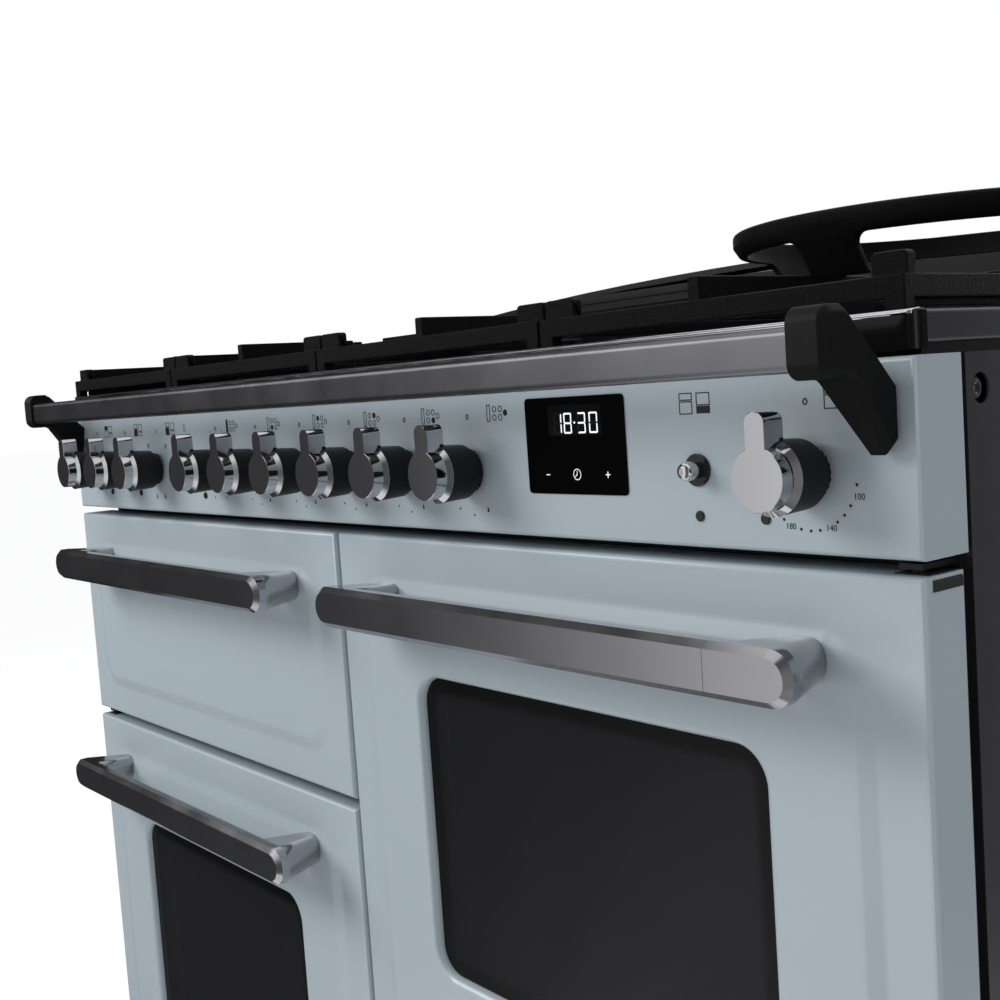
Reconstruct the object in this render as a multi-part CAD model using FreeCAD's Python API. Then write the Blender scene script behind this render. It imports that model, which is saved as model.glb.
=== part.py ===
import FreeCAD, Part
import math
import os

from FreeCAD import Vector

# Range cooker, 1100 mm class: gas hob over four ovens.
# X runs along the front, Y from the front to the back, Z up from the floor, all in millimetres.
# Depths named "from the doors" are measured back from the plane of the closed door faces.

LEFT, RIGHT = -1, 1

# ---- the whole cooker ----
WIDTH = 1092.0  # across doors and side panels
BODY_DEPTH = 608.0  # door faces to the back
HOB_HEIGHT = 905.0  # floor to the rim of the hob
RAIL_REACH = 58.0  # door faces forward to the rail brackets
SHEET = 1.5  # carcass sheet
FIT_GAP = 0.3  # between pieces that sit close without gripping
RUNNING_GAP = 0.06  # radial, shaft in its bore

# ---- control panel, and what the doors hang below ----
TRIM_HEIGHT = 19.5
TRIM_GAP = 3.0
PANEL_HEIGHT = 101.0
PANEL_SHEET = 2.0
PANEL_ROUND = 3.0
DOOR_TOP_GAP = 8.0
DOOR_FOOT = 101.5  # floor to the lowest door edge
SMALL_DOOR = 223.0
DOOR_GAP = 9.0  # between doors, one above the other
CENTRE_GAP = 5.0  # between the two columns of doors

# ---- carcass ----
FRAME_FACE = 40.0  # from the doors
FRAME_SHEET = 2.0
FRAME_FLANGE = 32.0
BAY_SIDE = 20.0  # frame left at the sides of the control opening
BAY_FOOT = 8.0
BAY_TOP = 10.0
SIDE_FRONT = 43.5  # from the doors
SIDE_FOOT = 60.0
SIDE_FLANGE = 18.0
SCREW_RECESS = 4.0
SCREW_HOLE = 8.0
SCREW_HEAD = 6.0
SCREW_DOME = 3.2
SCREW_LENGTH = 12.0
SCREW_SHANK = 2.4
SCREW_DEPTH = 56.9  # from the doors
SCREW_BELOW_TOP = 18.6
SCREW_ROWS = 3
CHASSIS_FRONT = 45.0  # from the doors
CHASSIS_FOOT = 70.0
CHASSIS_TOP = 100.0
PLINTH_FOOT = 14.0
PLINTH_TOP = 88.0
PLINTH_SHEET = 2.0
PLINTH_INSET = 6.0
BACK_RECESS = 20.0
CHAIN_HOLE_R = 3.5  # holes for the bracket of the stability chain
CHAIN_HOLE_PITCH = 120.0
CHAIN_HOLE_DROP = 40.0
DECK_DROP = 4.0  # ceiling over the ovens, below the control panel

# ---- feet and rollers ----
FOOT_R = 18.0
FOOT_PAD = 8.0
FOOT_STEM = 6.0
FOOT_INSET = 70.0
FOOT_BEHIND_CHASSIS = 8.0
ROLLER_R = 20.0
ROLLER_WIDTH = 26.0
AXLE_R = 4.0
FORK_SHEET = 3.0
FORK_HALF = 14.0
FORK_FOOT = 10.0
FORK_PLAY = 1.0
ROLLER_INSET = 90.0
ROLLER_FROM_BACK = 60.0

# ---- ovens ----
CAVITY_WIDTH = 440.0
CAVITY_DEPTH = 415.0
CAVITY_BORDER = 28.0  # door edge to the opening, above and below
CAVITY_FLANGE = 16.0
FLANGE_SHEET = 1.5
LEDGE_OUT = 7.0
LEDGE_THICK = 3.0
LEDGE_ROWS = 3
LEDGE_START = 6.0
BAFFLE_SPACE = 30.0
BAFFLE_HOLE = 55.0
SEAL_WIDTH = 8.0
SEAL_GAP = 0.3

# ---- fans and elements ----
FAN_R = 70.0
FAN_HUB = 12.0
FAN_DEPTH = 14.0
FAN_BLADES = 8
BLADE_THICK = 1.5
FAN_SHAFT = 4.0
MOTOR_R = 34.0
MOTOR_LENGTH = 42.0
RING_R = 92.0
ELEMENT_R = 3.5
ELEMENT_FERRULE = 4.5
ELEMENT_DROP = 16.0
ELEMENT_RODS = 6
ELEMENT_PITCH = 56.0
ELEMENT_INSET = 45.0

# ---- shelves and grill pan ----
RACK_WIRE = 2.5
RACK_FRAME_WIRE = 3.5
RACK_WIRES = 9
RACK_FRONT_GAP = 12.0
CARRIAGE_BAR = 10.0
CARRIAGE_DROP = 62.0  # from the top of the grill opening
CARRIAGE_PLAY = 2.0  # each side
CARRIAGE_BACK_GAP = 12.0
PAN_PLAY = 1.0
PAN_DEPTH = 34.0
PAN_SHEET = 2.0
PAN_LIP = 5.0
DRAWER_TRAVEL = 300.0

# ---- doors ----
DOOR_THICK = 35.0
DOOR_SHEET = 2.0
DOOR_ROUND = 4.0
PILLOW_RISE = 3.5
PILLOW_EDGE = 29.0
PILLOW_SLOPE = 17.0
PILLOW_ROUND = 34.0
PILLOW_STEPS = (0.0, 0.25, 0.5, 0.75, 1.0)
WINDOW_WIDTH = 332.6
WINDOW_HEIGHT = 231.0
WINDOW_DROP = 104.0  # door top to the window
WINDOW_ROUND = 22.0
WINDOW_DEPTH = 10.0
GLASS = 4.0
GLASS_LAP = 10.0
LINER_SHEET = 2.0
HINGE_INSET = 13.0  # door side to the hinge axis
HINGE_DEPTH = 16.0  # from the doors
PIN_R = 4.0
PIN_LENGTH = 18.0
HINGE_PLATE = 3.0
HINGE_REACH = 7.0
BOSS_R = 8.5

# ---- handles ----
HANDLE_HALF = 228.5
HANDLE_HEIGHT = 31.0
HANDLE_THICK = 12.0
HANDLE_FRONT = 52.5  # forward of the doors
HANDLE_DROP = 48.0  # door top to the middle of the handle
HANDLE_CHAMFER = 4.0
HANDLE_SEAM = 171.0  # middle of the handle to the joint with each end piece
SEAM_WIDTH = 0.5
SEAM_DEPTH = 0.5
LEG_OUTER = 226.0
LEG_INNER = 178.0
LEG_FOOT_OUTER = 212.0
LEG_FOOT_INNER = 184.0
LEG_FOOT_HEIGHT = 25.0
LEG_ROUND = 10.0

# ---- knobs and the push button ----
KNOB_Z = 43.6  # above the panel's lower edge
KNOB_FRONT = 41.7  # forward of the panel
KNOB_FACE = 17.0
KNOB_FACE_THICK = 8.7
KNOB_RING = 20.2
KNOB_BEVEL = 3.0  # depth of the bevel from the face's side out to the ring
KNOB_DRUM_END = 18.8
KNOB_DRUM_ROUND = 1.3
KNOB_COLLAR = 15.0
COLLAR_LENGTH = 6.0
KNOB_GAP = 0.8  # behind the knob
TAB_WIDTH = 13.0
TAB_REACH = 34.5
TAB_THICK = 15.3
KNOB_CHAMFER = 0.7
SPINDLE_R = 3.0
SPINDLE_IN_KNOB = 22.0
SPINDLE_HOLE = 5.0
OVEN_KNOB_INSET = 65.3  # left end of the panel to the first knob
OVEN_PITCH = 74.4
OVEN_KNOBS = 3
LAST_KNOB_INSET = 66.5  # right end of the panel to the last knob
TAP_MIDDLE = -4.95  # middle of the row of gas knobs
TAP_PITCH = 77.1
TAPS = 6
BUTTON_SHARE = 0.733  # of the way from the last gas knob to the last knob
BUTTON_Z = 44.8
BUTTON_R = 5.5
BUTTON_OUT = 14.0
BUTTON_IN = 9.0
BUTTON_TRAVEL = 3.0
BEZEL_R = 9.5
BEZEL_OUT = 2.0
BEZEL_SLEEVE = 7.0
BEZEL_IN = 6.0
LAMP_R = 3.2
LAMP_OUT = 1.2
LAMP_STEM = 2.4
LAMP_STEM_LENGTH = 12.0
LAMP_HEIGHT = 18.3  # above the panel's lower edge
LAMP_LEFT = 44.8  # of the second and third oven knobs
TAP_LAMP_LEFT = 30.7  # of the first gas knob
LAST_LAMP_LEFT = 30.0  # of the last knob
CLOCK_SHARE = 0.378  # of the way from the last gas knob to the last knob
CLOCK_Z = 60.0
CLOCK_WIDTH = 92.8
CLOCK_HEIGHT = 62.0
CLOCK_GLASS = 0.8
CLOCK_LAP = 3.0
CLOCK_DEPTH = 30.0
CLOCK_ROUND = 3.0
SWITCH_SIZE = 34.0
SWITCH_DEPTH = 40.0

# ---- towel rail ----
RAIL_FOOT = 96.0  # above the panel's lower edge
RAIL_HEIGHT = 22.0
RAIL_THICK = 13.0
RAIL_SETBACK = 2.0  # bracket face to rail face
RAIL_ROUND = 4.0
BRACKET_INSET = 8.0  # end of the panel to the bracket
BRACKET_WIDTH = 23.0
RAIL_END_WALL = 13.0
BRACKET_LOW = 53.0
BRACKET_HEAD_LOW = 92.2
BRACKET_HIGH = 127.4
BRACKET_CORNER = 8.5
BRACKET_NECK = 35.8  # forward of the panel
BRACKET_NECK_ROUND = 6.0
BRACKET_CHAMFER = 4.0
BRACKET_HEEL = 9.0
BRACKET_SHOULDER = 13.0
BRACKET_TAPER = 10.4  # the leg is this much narrower at its foot

# ---- hob ----
TRIM_FACE = 2.0  # from the doors
TRIM_THICK = 10.0
TRIM_CORNER = 6.0
SIDE_TRIM_LIFT = 2.5
SIDE_TRIM_ROUND = 3.0
TRIM_EDGE = 1.5
SIDE_TRIM = 4.0
TRAY_DROP = 14.0
VENT_THICK = 53.0
VENT_INSET = 8.0
VENT_MIDDLE = 93.0  # above the rim
VENT_END = 69.5
VENT_WALL = 81.5
VENT_BAR = 6.0
VENT_GROOVE_DROP = 8.5
VENT_GROOVE = 1.5
VENT_DUCT_INSET = 80.0
VENT_DUCT_MARGIN = 11.0
BURNER_FRONT = 150.0  # from the doors
BURNER_BACK = 410.0
LARGE_BURNER = 46.0
SMALL_BURNER = 34.0
WOK_Y = 270.0
WOK_BURNER = 62.0
LONG_BURNER_HALF = 150.0
LONG_BURNER_R = 24.0
BURNER_CUP = 12.0
BURNER_CAP = 6.0
CAP_STEP = 4.0
JET_PIPE = 11.0

# ---- pan supports ----
SUPPORT_SHARES = (0.232, 0.255, 0.259, 0.254)  # widths of the four, from left to right
SUPPORT_INSET = 5.0  # side of the cooker to the supports
SUPPORT_GAP = 2.0
SUPPORT_FRONT = 3.0  # from the doors
SUPPORT_CLEAR = 8.0  # in front of the vent
BAR_WIDTH = 12.0
BAR_LIFT = 5.5  # above the rim
BAR_HEIGHT = 12.0
FINGER_TOP = 31.5  # above the rim
FINGER_WIDTH = 9.0
FINGER_SETBACK = 5.0
FINGER_REACH = 24.0  # finger tip to the burner's axis
POST_WIDTH = 27.0
POST_THICK = 8.0
POST_SETBACK = 6.0
POST_TOP = 29.5
POST_ROUND = 3.0
END_POST_WIDTH = 21.0
END_POST_INSET = 2.0
RAIL_WIDTH = 8.0
LONG_FINGERS = 3

# ---- wok ring ----
RING_TOP_R = 148.0
RING_FOOT_R = 128.5
RING_RISE = 40.5
RING_LIP = 9.0
RING_WALL = 6.0
RING_EDGE = 2.0
RING_WINDOW = 24.5
RING_WINDOW_ROUND = 9.0
RING_FOOT_HALF = 21.0

# ---- gas pipe ----
PIPE_R = 9.0
PIPE_DEPTH = 78.0  # from the doors
THIN_PIPE = 3.0
TAP_SIZE = 26.0
TAP_DEPTH = 62.0
INLET_R = 10.5
INLET_LENGTH = 16.0
INLET_INSET = 76.0  # side of the cooker to the inlet

# ---- places worked out from the sizes above ----
FRONT = (RAIL_REACH - BODY_DEPTH) / 2
BACK = FRONT + BODY_DEPTH
BACK_PANEL = BACK - BACK_RECESS
PANEL_TOP = HOB_HEIGHT - TRIM_HEIGHT - TRIM_GAP
PANEL_FOOT = PANEL_TOP - PANEL_HEIGHT
DOOR_TOP = PANEL_FOOT - DOOR_TOP_GAP
DECK = PANEL_FOOT - DECK_DROP
SIDE = WIDTH / 2
FRAME_HALF = SIDE - SHEET - SCREW_RECESS
INSIDE_HALF = SIDE - SHEET
FLANGE_FACE = FRAME_FACE - FLANGE_SHEET
CAVITY_BACK = FLANGE_FACE + CAVITY_DEPTH
COLUMN_X = (WIDTH + CENTRE_GAP) / 4
TRAY_FLOOR = HOB_HEIGHT - TRAY_DROP
BAR_FOOT = HOB_HEIGHT + BAR_LIFT
BAR_TOP = BAR_FOOT + BAR_HEIGHT
KNOB_HEIGHT = PANEL_FOOT + KNOB_Z
HINGE_X = SIDE - HINGE_INSET
INLET_X = INLET_INSET - SIDE
BRACKET_OUTER = SIDE - BRACKET_INSET
BRACKET_INNER = BRACKET_OUTER - BRACKET_WIDTH
VENT_FRONT = BODY_DEPTH - 2 * SHEET - VENT_THICK
SUPPORT_BACK = VENT_FRONT - SUPPORT_CLEAR

DOORS = {
    "grill": (LEFT, DOOR_TOP - SMALL_DOOR, DOOR_TOP),
    "left_oven": (LEFT, DOOR_FOOT, DOOR_TOP - SMALL_DOOR - DOOR_GAP),
    "right_oven": (RIGHT, DOOR_FOOT + SMALL_DOOR + DOOR_GAP, DOOR_TOP),
    "slow_oven": (RIGHT, DOOR_FOOT, DOOR_FOOT + SMALL_DOOR),
}

OVEN_X = [OVEN_KNOB_INSET - SIDE + OVEN_PITCH * i for i in range(OVEN_KNOBS)]
TAP_X = [TAP_MIDDLE + TAP_PITCH * (i - (TAPS - 1) / 2) for i in range(TAPS)]
LAST_KNOB_X = SIDE - LAST_KNOB_INSET
KNOB_X = OVEN_X + TAP_X + [LAST_KNOB_X]
CLOCK_X = TAP_X[-1] + CLOCK_SHARE * (LAST_KNOB_X - TAP_X[-1])
BUTTON_X = TAP_X[-1] + BUTTON_SHARE * (LAST_KNOB_X - TAP_X[-1])
LAMP_X = [x - LAMP_LEFT for x in OVEN_X[1:]]
LAMP_X += [TAP_X[0] - TAP_LAMP_LEFT, BUTTON_X, LAST_KNOB_X - LAST_LAMP_LEFT]

SUPPORT_SPAN = WIDTH - 2 * SUPPORT_INSET
SUPPORT_EDGES = [SUPPORT_INSET - SIDE + SUPPORT_SPAN * sum(SUPPORT_SHARES[:i]) for i in range(5)]
SUPPORT_MIDDLES = [(a + b) / 2 for a, b in zip(SUPPORT_EDGES, SUPPORT_EDGES[1:])]
LONG_BURNER_X = SUPPORT_MIDDLES[0]
WOK_X = SIDE - RING_TOP_R

os.makedirs("parts", exist_ok=True)


# ---- shared shapes ----
def depth(distance):
    """Y of a place that lies this far behind the plane of the door faces."""
    return FRONT + distance


def block(x0, x1, y0, y1, z0, z1):
    low = Vector(min(x0, x1), min(y0, y1), min(z0, z1))
    return Part.makeBox(abs(x1 - x0), abs(y1 - y0), abs(z1 - z0), low)


def rod(x, y, z, axis, radius, length):
    return Part.makeCylinder(radius, length, Vector(x, y, z), axis)


def along_x(x, y, z, radius, length):
    return rod(x, y, z, Vector(1, 0, 0), radius, length)


def along_y(x, y, z, radius, length):
    return rod(x, y, z, Vector(0, 1, 0), radius, length)


def along_z(x, y, z, radius, length):
    return rod(x, y, z, Vector(0, 0, 1), radius, length)


def join(pieces):
    return pieces[0].multiFuse(pieces[1:]).removeSplitter()


def edges_at(shape, axis, value):
    """Edges whose ends both lie on the plane where one coordinate has this value."""
    return [e for e in shape.Edges if all(abs(v.Point[axis] - value) < 1e-4 for v in e.Vertexes)]


def edges_along(shape, axis):
    """Straight edges that run along one coordinate axis."""
    found = []
    for edge in shape.Edges:
        span = edge.Vertexes[-1].Point - edge.Vertexes[0].Point
        others = [span[i] for i in range(3) if i != axis]
        if abs(span[axis]) > 1e-4 and max(map(abs, others)) < 1e-4:
            found.append(edge)
    return found


def rounded_slab(x0, x1, z0, z1, radius, y0, y1):
    """A plate facing the front, with its four corners rounded."""
    slab = block(x0, x1, y0, y1, z0, z1)
    limit = min(radius, 0.49 * abs(x1 - x0), 0.49 * abs(z1 - z0))
    return slab.makeFillet(limit, edges_along(slab, 1))


def rounded_outline(x0, x1, z0, z1, radius, y):
    """The wire of a rounded rectangle that faces the front."""
    face = rounded_slab(x0, x1, z0, z1, radius, y, y + 1)
    return [f for f in face.Faces if abs(f.CenterOfMass.y - y) < 1e-4][0].OuterWire


def prism_x(profile, x0, x1):
    """A solid with a (y, z) outline, running along X."""
    points = [Vector(min(x0, x1), y, z) for y, z in profile]
    face = Part.Face(Part.makePolygon(points + points[:1]))
    return face.extrude(Vector(abs(x1 - x0), 0, 0))


def save(name, *solids):
    shape = solids[0] if len(solids) == 1 else Part.makeCompound(list(solids))
    shape.exportStep("parts/%s.step" % name)


def column(side):
    """The two X limits of one column of doors, outer edge last."""
    return side * CENTRE_GAP / 2, side * SIDE


def cavity_heights(door):
    _, low, high = DOORS[door]
    return low + CAVITY_BORDER, high - CAVITY_BORDER


# ---- carcass ----
def face_frame():
    """Stiles and rails of the face frame, cut from strip and welded edge to edge."""
    bay_foot, bay_top = PANEL_FOOT + BAY_FOOT, PANEL_TOP - BAY_TOP
    half = CAVITY_WIDTH / 2 + SHEET + FIT_GAP
    rise = CAVITY_BORDER - SHEET - FIT_GAP
    strips = [(-FRAME_HALF, -COLUMN_X - half, CHASSIS_TOP, bay_foot),
              (half - COLUMN_X, COLUMN_X - half, CHASSIS_TOP, bay_foot),
              (COLUMN_X + half, FRAME_HALF, CHASSIS_TOP, bay_foot),
              (-FRAME_HALF, FRAME_HALF, bay_top, PANEL_TOP)]
    for side in (LEFT, RIGHT):
        strips.append(tuple(sorted((side * FRAME_HALF, side * (FRAME_HALF - BAY_SIDE)))) + (bay_foot, bay_top))
        levels = [CHASSIS_TOP]
        for column_side, low, high in sorted(DOORS.values(), key=lambda door: door[1]):
            if column_side == side:
                levels += [low + rise, high - rise]
        levels.append(bay_foot)
        for z0, z1 in zip(levels[::2], levels[1::2]):
            strips.append((side * COLUMN_X - half, side * COLUMN_X + half, z0, z1))
    front = depth(FRAME_FACE)
    return [block(x0, x1, front, front + FRAME_SHEET, z0, z1) for x0, x1, z0, z1 in strips]


def carcass_frame():
    """Face frame with an opening for each oven, side flanges, the wall between the columns and the deck."""
    wall_y = depth(FRAME_FACE) + FRAME_SHEET
    sheets = face_frame()
    for side in (LEFT, RIGHT):
        flange = block(side * FRAME_HALF, side * (FRAME_HALF - FRAME_SHEET), wall_y, wall_y + FRAME_FLANGE,
                       CHASSIS_TOP, PANEL_TOP)
        for height in screw_heights():
            flange = flange.cut(along_x(side * FRAME_HALF - 5, depth(SCREW_DEPTH), height, SCREW_SHANK, 10))
        sheets.append(flange)
    sheets.append(block(-SHEET / 2, SHEET / 2, wall_y, BACK_PANEL, CHASSIS_TOP, DECK - SHEET))
    deck_half = FRAME_HALF - FRAME_SHEET
    sheets.append(block(-deck_half, deck_half, wall_y, BACK_PANEL, DECK - SHEET, DECK))
    return sheets


def screw_heights():
    top = PANEL_TOP - SCREW_BELOW_TOP
    low = CHASSIS_TOP + SCREW_BELOW_TOP
    return [top - (top - low) * row / (SCREW_ROWS - 1) for row in range(SCREW_ROWS)]


def side_panel(side):
    outer = side * SIDE
    front = depth(SIDE_FRONT)
    panel = join([
        block(outer, outer - side * SHEET, front, BACK, SIDE_FOOT, PANEL_TOP),
        block(outer, outer - side * SIDE_FLANGE, front + FRAME_FLANGE, BACK, PANEL_TOP - SHEET, PANEL_TOP),
        block(outer, side * FRAME_HALF, front, front + SHEET, SIDE_FOOT, PANEL_TOP),
    ])
    for height in screw_heights():
        panel = panel.cut(along_x(outer - 2, depth(SCREW_DEPTH), height, SCREW_HOLE, 4))
    return panel


def side_screws(side):
    """Dome-headed screws that hold the side panel, sunk behind its round holes."""
    seat = side * FRAME_HALF
    screws = []
    for height in screw_heights():
        centre = Vector(seat, depth(SCREW_DEPTH), height)
        head = Part.makeCylinder(SCREW_HEAD, SCREW_DOME, centre, Vector(side, 0, 0))
        head = head.makeFillet(SCREW_DOME * 0.45, edges_at(head, 0, seat + side * SCREW_DOME))
        shank = Part.makeCylinder(SCREW_SHANK - FIT_GAP, SCREW_LENGTH, centre, Vector(-side, 0, 0))
        screws.append(head.fuse(shank))
    return screws


def base_chassis():
    tray = block(-INSIDE_HALF, INSIDE_HALF, depth(CHASSIS_FRONT), BACK_PANEL, CHASSIS_FOOT, CHASSIS_TOP)
    hollow = block(SHEET - INSIDE_HALF, INSIDE_HALF - SHEET, depth(CHASSIS_FRONT) + SHEET, BACK_PANEL - SHEET,
                   CHASSIS_FOOT - 1, CHASSIS_TOP - SHEET)
    return tray.cut(hollow)


def plinth():
    half = SIDE - PLINTH_INSET
    back = depth(CHASSIS_FRONT)
    return block(-half, half, back - PLINTH_SHEET, back, PLINTH_FOOT, PLINTH_TOP)


def back_panel():
    panel = block(-INSIDE_HALF, INSIDE_HALF, BACK_PANEL, BACK_PANEL + SHEET, CHASSIS_FOOT, PANEL_TOP - SHEET)
    panel = panel.cut(along_y(INLET_X, BACK_PANEL - 1, KNOB_HEIGHT, PIPE_R + FIT_GAP, SHEET + 2))
    for side in (LEFT, RIGHT):
        panel = panel.cut(along_y(side * CHAIN_HOLE_PITCH / 2, BACK_PANEL - 1, DECK - CHAIN_HOLE_DROP,
                                  CHAIN_HOLE_R, SHEET + 2))
    return panel


def feet_and_forks():
    pieces = []
    top = CHASSIS_TOP - SHEET
    for side in (LEFT, RIGHT):
        x = side * (SIDE - FOOT_INSET)
        y = depth(CHASSIS_FRONT) + FOOT_R + FOOT_BEHIND_CHASSIS
        pad = along_z(x, y, 0, FOOT_R, FOOT_PAD)
        pad = pad.makeFillet(FOOT_PAD / 4, edges_at(pad, 2, FOOT_PAD))
        pieces.append(pad.fuse(along_z(x, y, FOOT_PAD / 2, FOOT_STEM, top - FOOT_PAD / 2)))
        x = side * (SIDE - ROLLER_INSET)
        y = BACK - ROLLER_FROM_BACK
        half = ROLLER_WIDTH / 2 + FORK_PLAY
        fork = [block(x + s * half, x + s * (half + FORK_SHEET), y - FORK_HALF, y + FORK_HALF, FORK_FOOT, top)
                for s in (LEFT, RIGHT)]
        fork.append(block(x - half, x + half, y - FORK_HALF, y + FORK_HALF, top - FORK_SHEET, top))
        fork.append(along_x(x - half - FORK_SHEET, y, ROLLER_R, AXLE_R, 2 * (half + FORK_SHEET)))
        pieces.append(join(fork))
    return pieces


def rear_rollers():
    rollers = []
    for side in (LEFT, RIGHT):
        x = side * (SIDE - ROLLER_INSET) - ROLLER_WIDTH / 2
        y = BACK - ROLLER_FROM_BACK
        wheel = along_x(x, y, ROLLER_R, ROLLER_R, ROLLER_WIDTH)
        wheel = wheel.makeFillet(2, wheel.Edges[0:1] + wheel.Edges[2:3])
        rollers.append(wheel.cut(along_x(x - 1, y, ROLLER_R, AXLE_R + RUNNING_GAP, ROLLER_WIDTH + 2)))
    return rollers


# ---- ovens ----
def cavity(door, fan):
    """A liner of folded sheets, open to the front, with its flange lying on the face frame."""
    side = DOORS[door][0]
    low, high = cavity_heights(door)
    x = side * COLUMN_X
    half = CAVITY_WIDTH / 2
    front, back = depth(FLANGE_FACE), depth(CAVITY_BACK)
    frame = depth(FRAME_FACE)
    lip = half + CAVITY_FLANGE
    sheets = [
        block(x - lip, x - half, front, frame, low - CAVITY_FLANGE, high + CAVITY_FLANGE),
        block(x + half, x + lip, front, frame, low - CAVITY_FLANGE, high + CAVITY_FLANGE),
        block(x - half, x + half, front, frame, low - CAVITY_FLANGE, low),
        block(x - half, x + half, front, frame, high, high + CAVITY_FLANGE),
        block(x - half - SHEET, x - half, frame, back, low - SHEET, high + SHEET),
        block(x + half, x + half + SHEET, frame, back, low - SHEET, high + SHEET),
        block(x - half, x + half, frame, back, low - SHEET, low),
        block(x - half, x + half, frame, back, high, high + SHEET),
    ]
    rear = block(x - half - SHEET, x + half + SHEET, back, back + SHEET, low - SHEET, high + SHEET)
    middle = (low + high) / 2
    if fan:
        pitch = (high - low) / (LEDGE_ROWS + 1)
        heights = [low + pitch * (row + 1) for row in range(LEDGE_ROWS)]
        baffle = block(x - half, x + half, back - BAFFLE_SPACE, back - BAFFLE_SPACE + SHEET, low, high)
        sheets.append(baffle.cut(along_y(x, back - BAFFLE_SPACE - 1, middle, BAFFLE_HOLE, SHEET + 2)))
        rear = rear.cut(along_y(x, back - 1, middle, FAN_SHAFT + FIT_GAP, SHEET + 2))
    elif door == "grill":
        heights = [high - CARRIAGE_DROP - CARRIAGE_BAR - FIT_GAP - LEDGE_THICK, high - CARRIAGE_DROP + FIT_GAP]
    else:
        heights = [middle]
    sheets.append(rear)
    reach = CAVITY_DEPTH - (BAFFLE_SPACE if fan else 0)
    for height in heights:
        for s in (LEFT, RIGHT):
            sheets.append(block(x + s * half, x + s * (half - LEDGE_OUT), front + LEDGE_START, front + reach,
                                height, height + LEDGE_THICK))
    return sheets


def door_seal(door):
    side = DOORS[door][0]
    low, high = cavity_heights(door)
    half = CAVITY_WIDTH / 2
    y0, y1 = depth(DOOR_THICK + SEAL_GAP), depth(FLANGE_FACE)
    x = side * COLUMN_X
    edge = (CAVITY_FLANGE - SEAL_WIDTH) / 2
    outer = rounded_slab(x - half - edge - SEAL_WIDTH, x + half + edge + SEAL_WIDTH,
                         low - edge - SEAL_WIDTH, high + edge + SEAL_WIDTH, SEAL_WIDTH, y0, y1)
    return outer.cut(block(x - half - edge, x + half + edge, y0 - 1, y1 + 1, low - edge, high + edge))


def fan(door):
    side = DOORS[door][0]
    low, high = cavity_heights(door)
    y = depth(CAVITY_BACK) - BAFFLE_SPACE / 2 - FAN_DEPTH / 2 + SHEET
    x, z = side * COLUMN_X, (low + high) / 2
    hub = along_y(x, y, z, FAN_HUB, FAN_DEPTH)
    disc = along_y(x, y + FAN_DEPTH - BLADE_THICK, z, FAN_R, BLADE_THICK)
    pieces = [hub, disc]
    for i in range(FAN_BLADES):
        blade = block(FAN_HUB - 1, FAN_R, y, y + FAN_DEPTH - BLADE_THICK / 2, -BLADE_THICK / 2, BLADE_THICK / 2)
        blade.rotate(Vector(0, 0, 0), Vector(0, 1, 0), 360 * i / FAN_BLADES)
        blade.translate(Vector(x, 0, z))
        pieces.append(blade)
    return join(pieces).cut(along_y(x, y - 1, z, FAN_SHAFT + RUNNING_GAP, FAN_DEPTH + 2))


def fan_motor(door):
    side = DOORS[door][0]
    low, high = cavity_heights(door)
    x, z = side * COLUMN_X, (low + high) / 2
    back = depth(CAVITY_BACK) + SHEET
    y = depth(CAVITY_BACK) - BAFFLE_SPACE / 2 - FAN_DEPTH / 2 + SHEET
    return along_y(x, back, z, MOTOR_R, MOTOR_LENGTH).fuse(along_y(x, y, z, FAN_SHAFT, back - y + 1))


def ring_element(door):
    side = DOORS[door][0]
    low, high = cavity_heights(door)
    x, z = side * COLUMN_X, (low + high) / 2
    back = depth(CAVITY_BACK)
    y = back - BAFFLE_SPACE / 2
    ring = Part.makeTorus(RING_R, ELEMENT_R, Vector(x, y, z), Vector(0, 1, 0))
    stubs = [along_y(x + s * RING_R, y, z, ELEMENT_FERRULE, back - y) for s in (LEFT, RIGHT)]
    return join([ring] + stubs)


def flat_element(door, z):
    """A level serpentine rod that plugs into the liner's back wall."""
    x = DOORS[door][0] * COLUMN_X
    back = depth(CAVITY_BACK)
    front = depth(FLANGE_FACE) + ELEMENT_INSET
    start = x - ELEMENT_PITCH * (ELEMENT_RODS - 1) / 2
    pieces = []
    for i in range(ELEMENT_RODS):
        rod_x = start + i * ELEMENT_PITCH
        ends = i in (0, ELEMENT_RODS - 1)
        rod_back = back if ends else back - ELEMENT_INSET
        pieces.append(along_y(rod_x, front, z, ELEMENT_R, rod_back - front))
        if i < ELEMENT_RODS - 1:
            turn_y = front if i % 2 == 0 else back - ELEMENT_INSET
            pieces.append(along_x(rod_x, turn_y, z, ELEMENT_R, ELEMENT_PITCH))
            pieces.append(Part.makeSphere(ELEMENT_R, Vector(rod_x, turn_y, z)))
            pieces.append(Part.makeSphere(ELEMENT_R, Vector(rod_x + ELEMENT_PITCH, turn_y, z)))
    return join(pieces)


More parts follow.
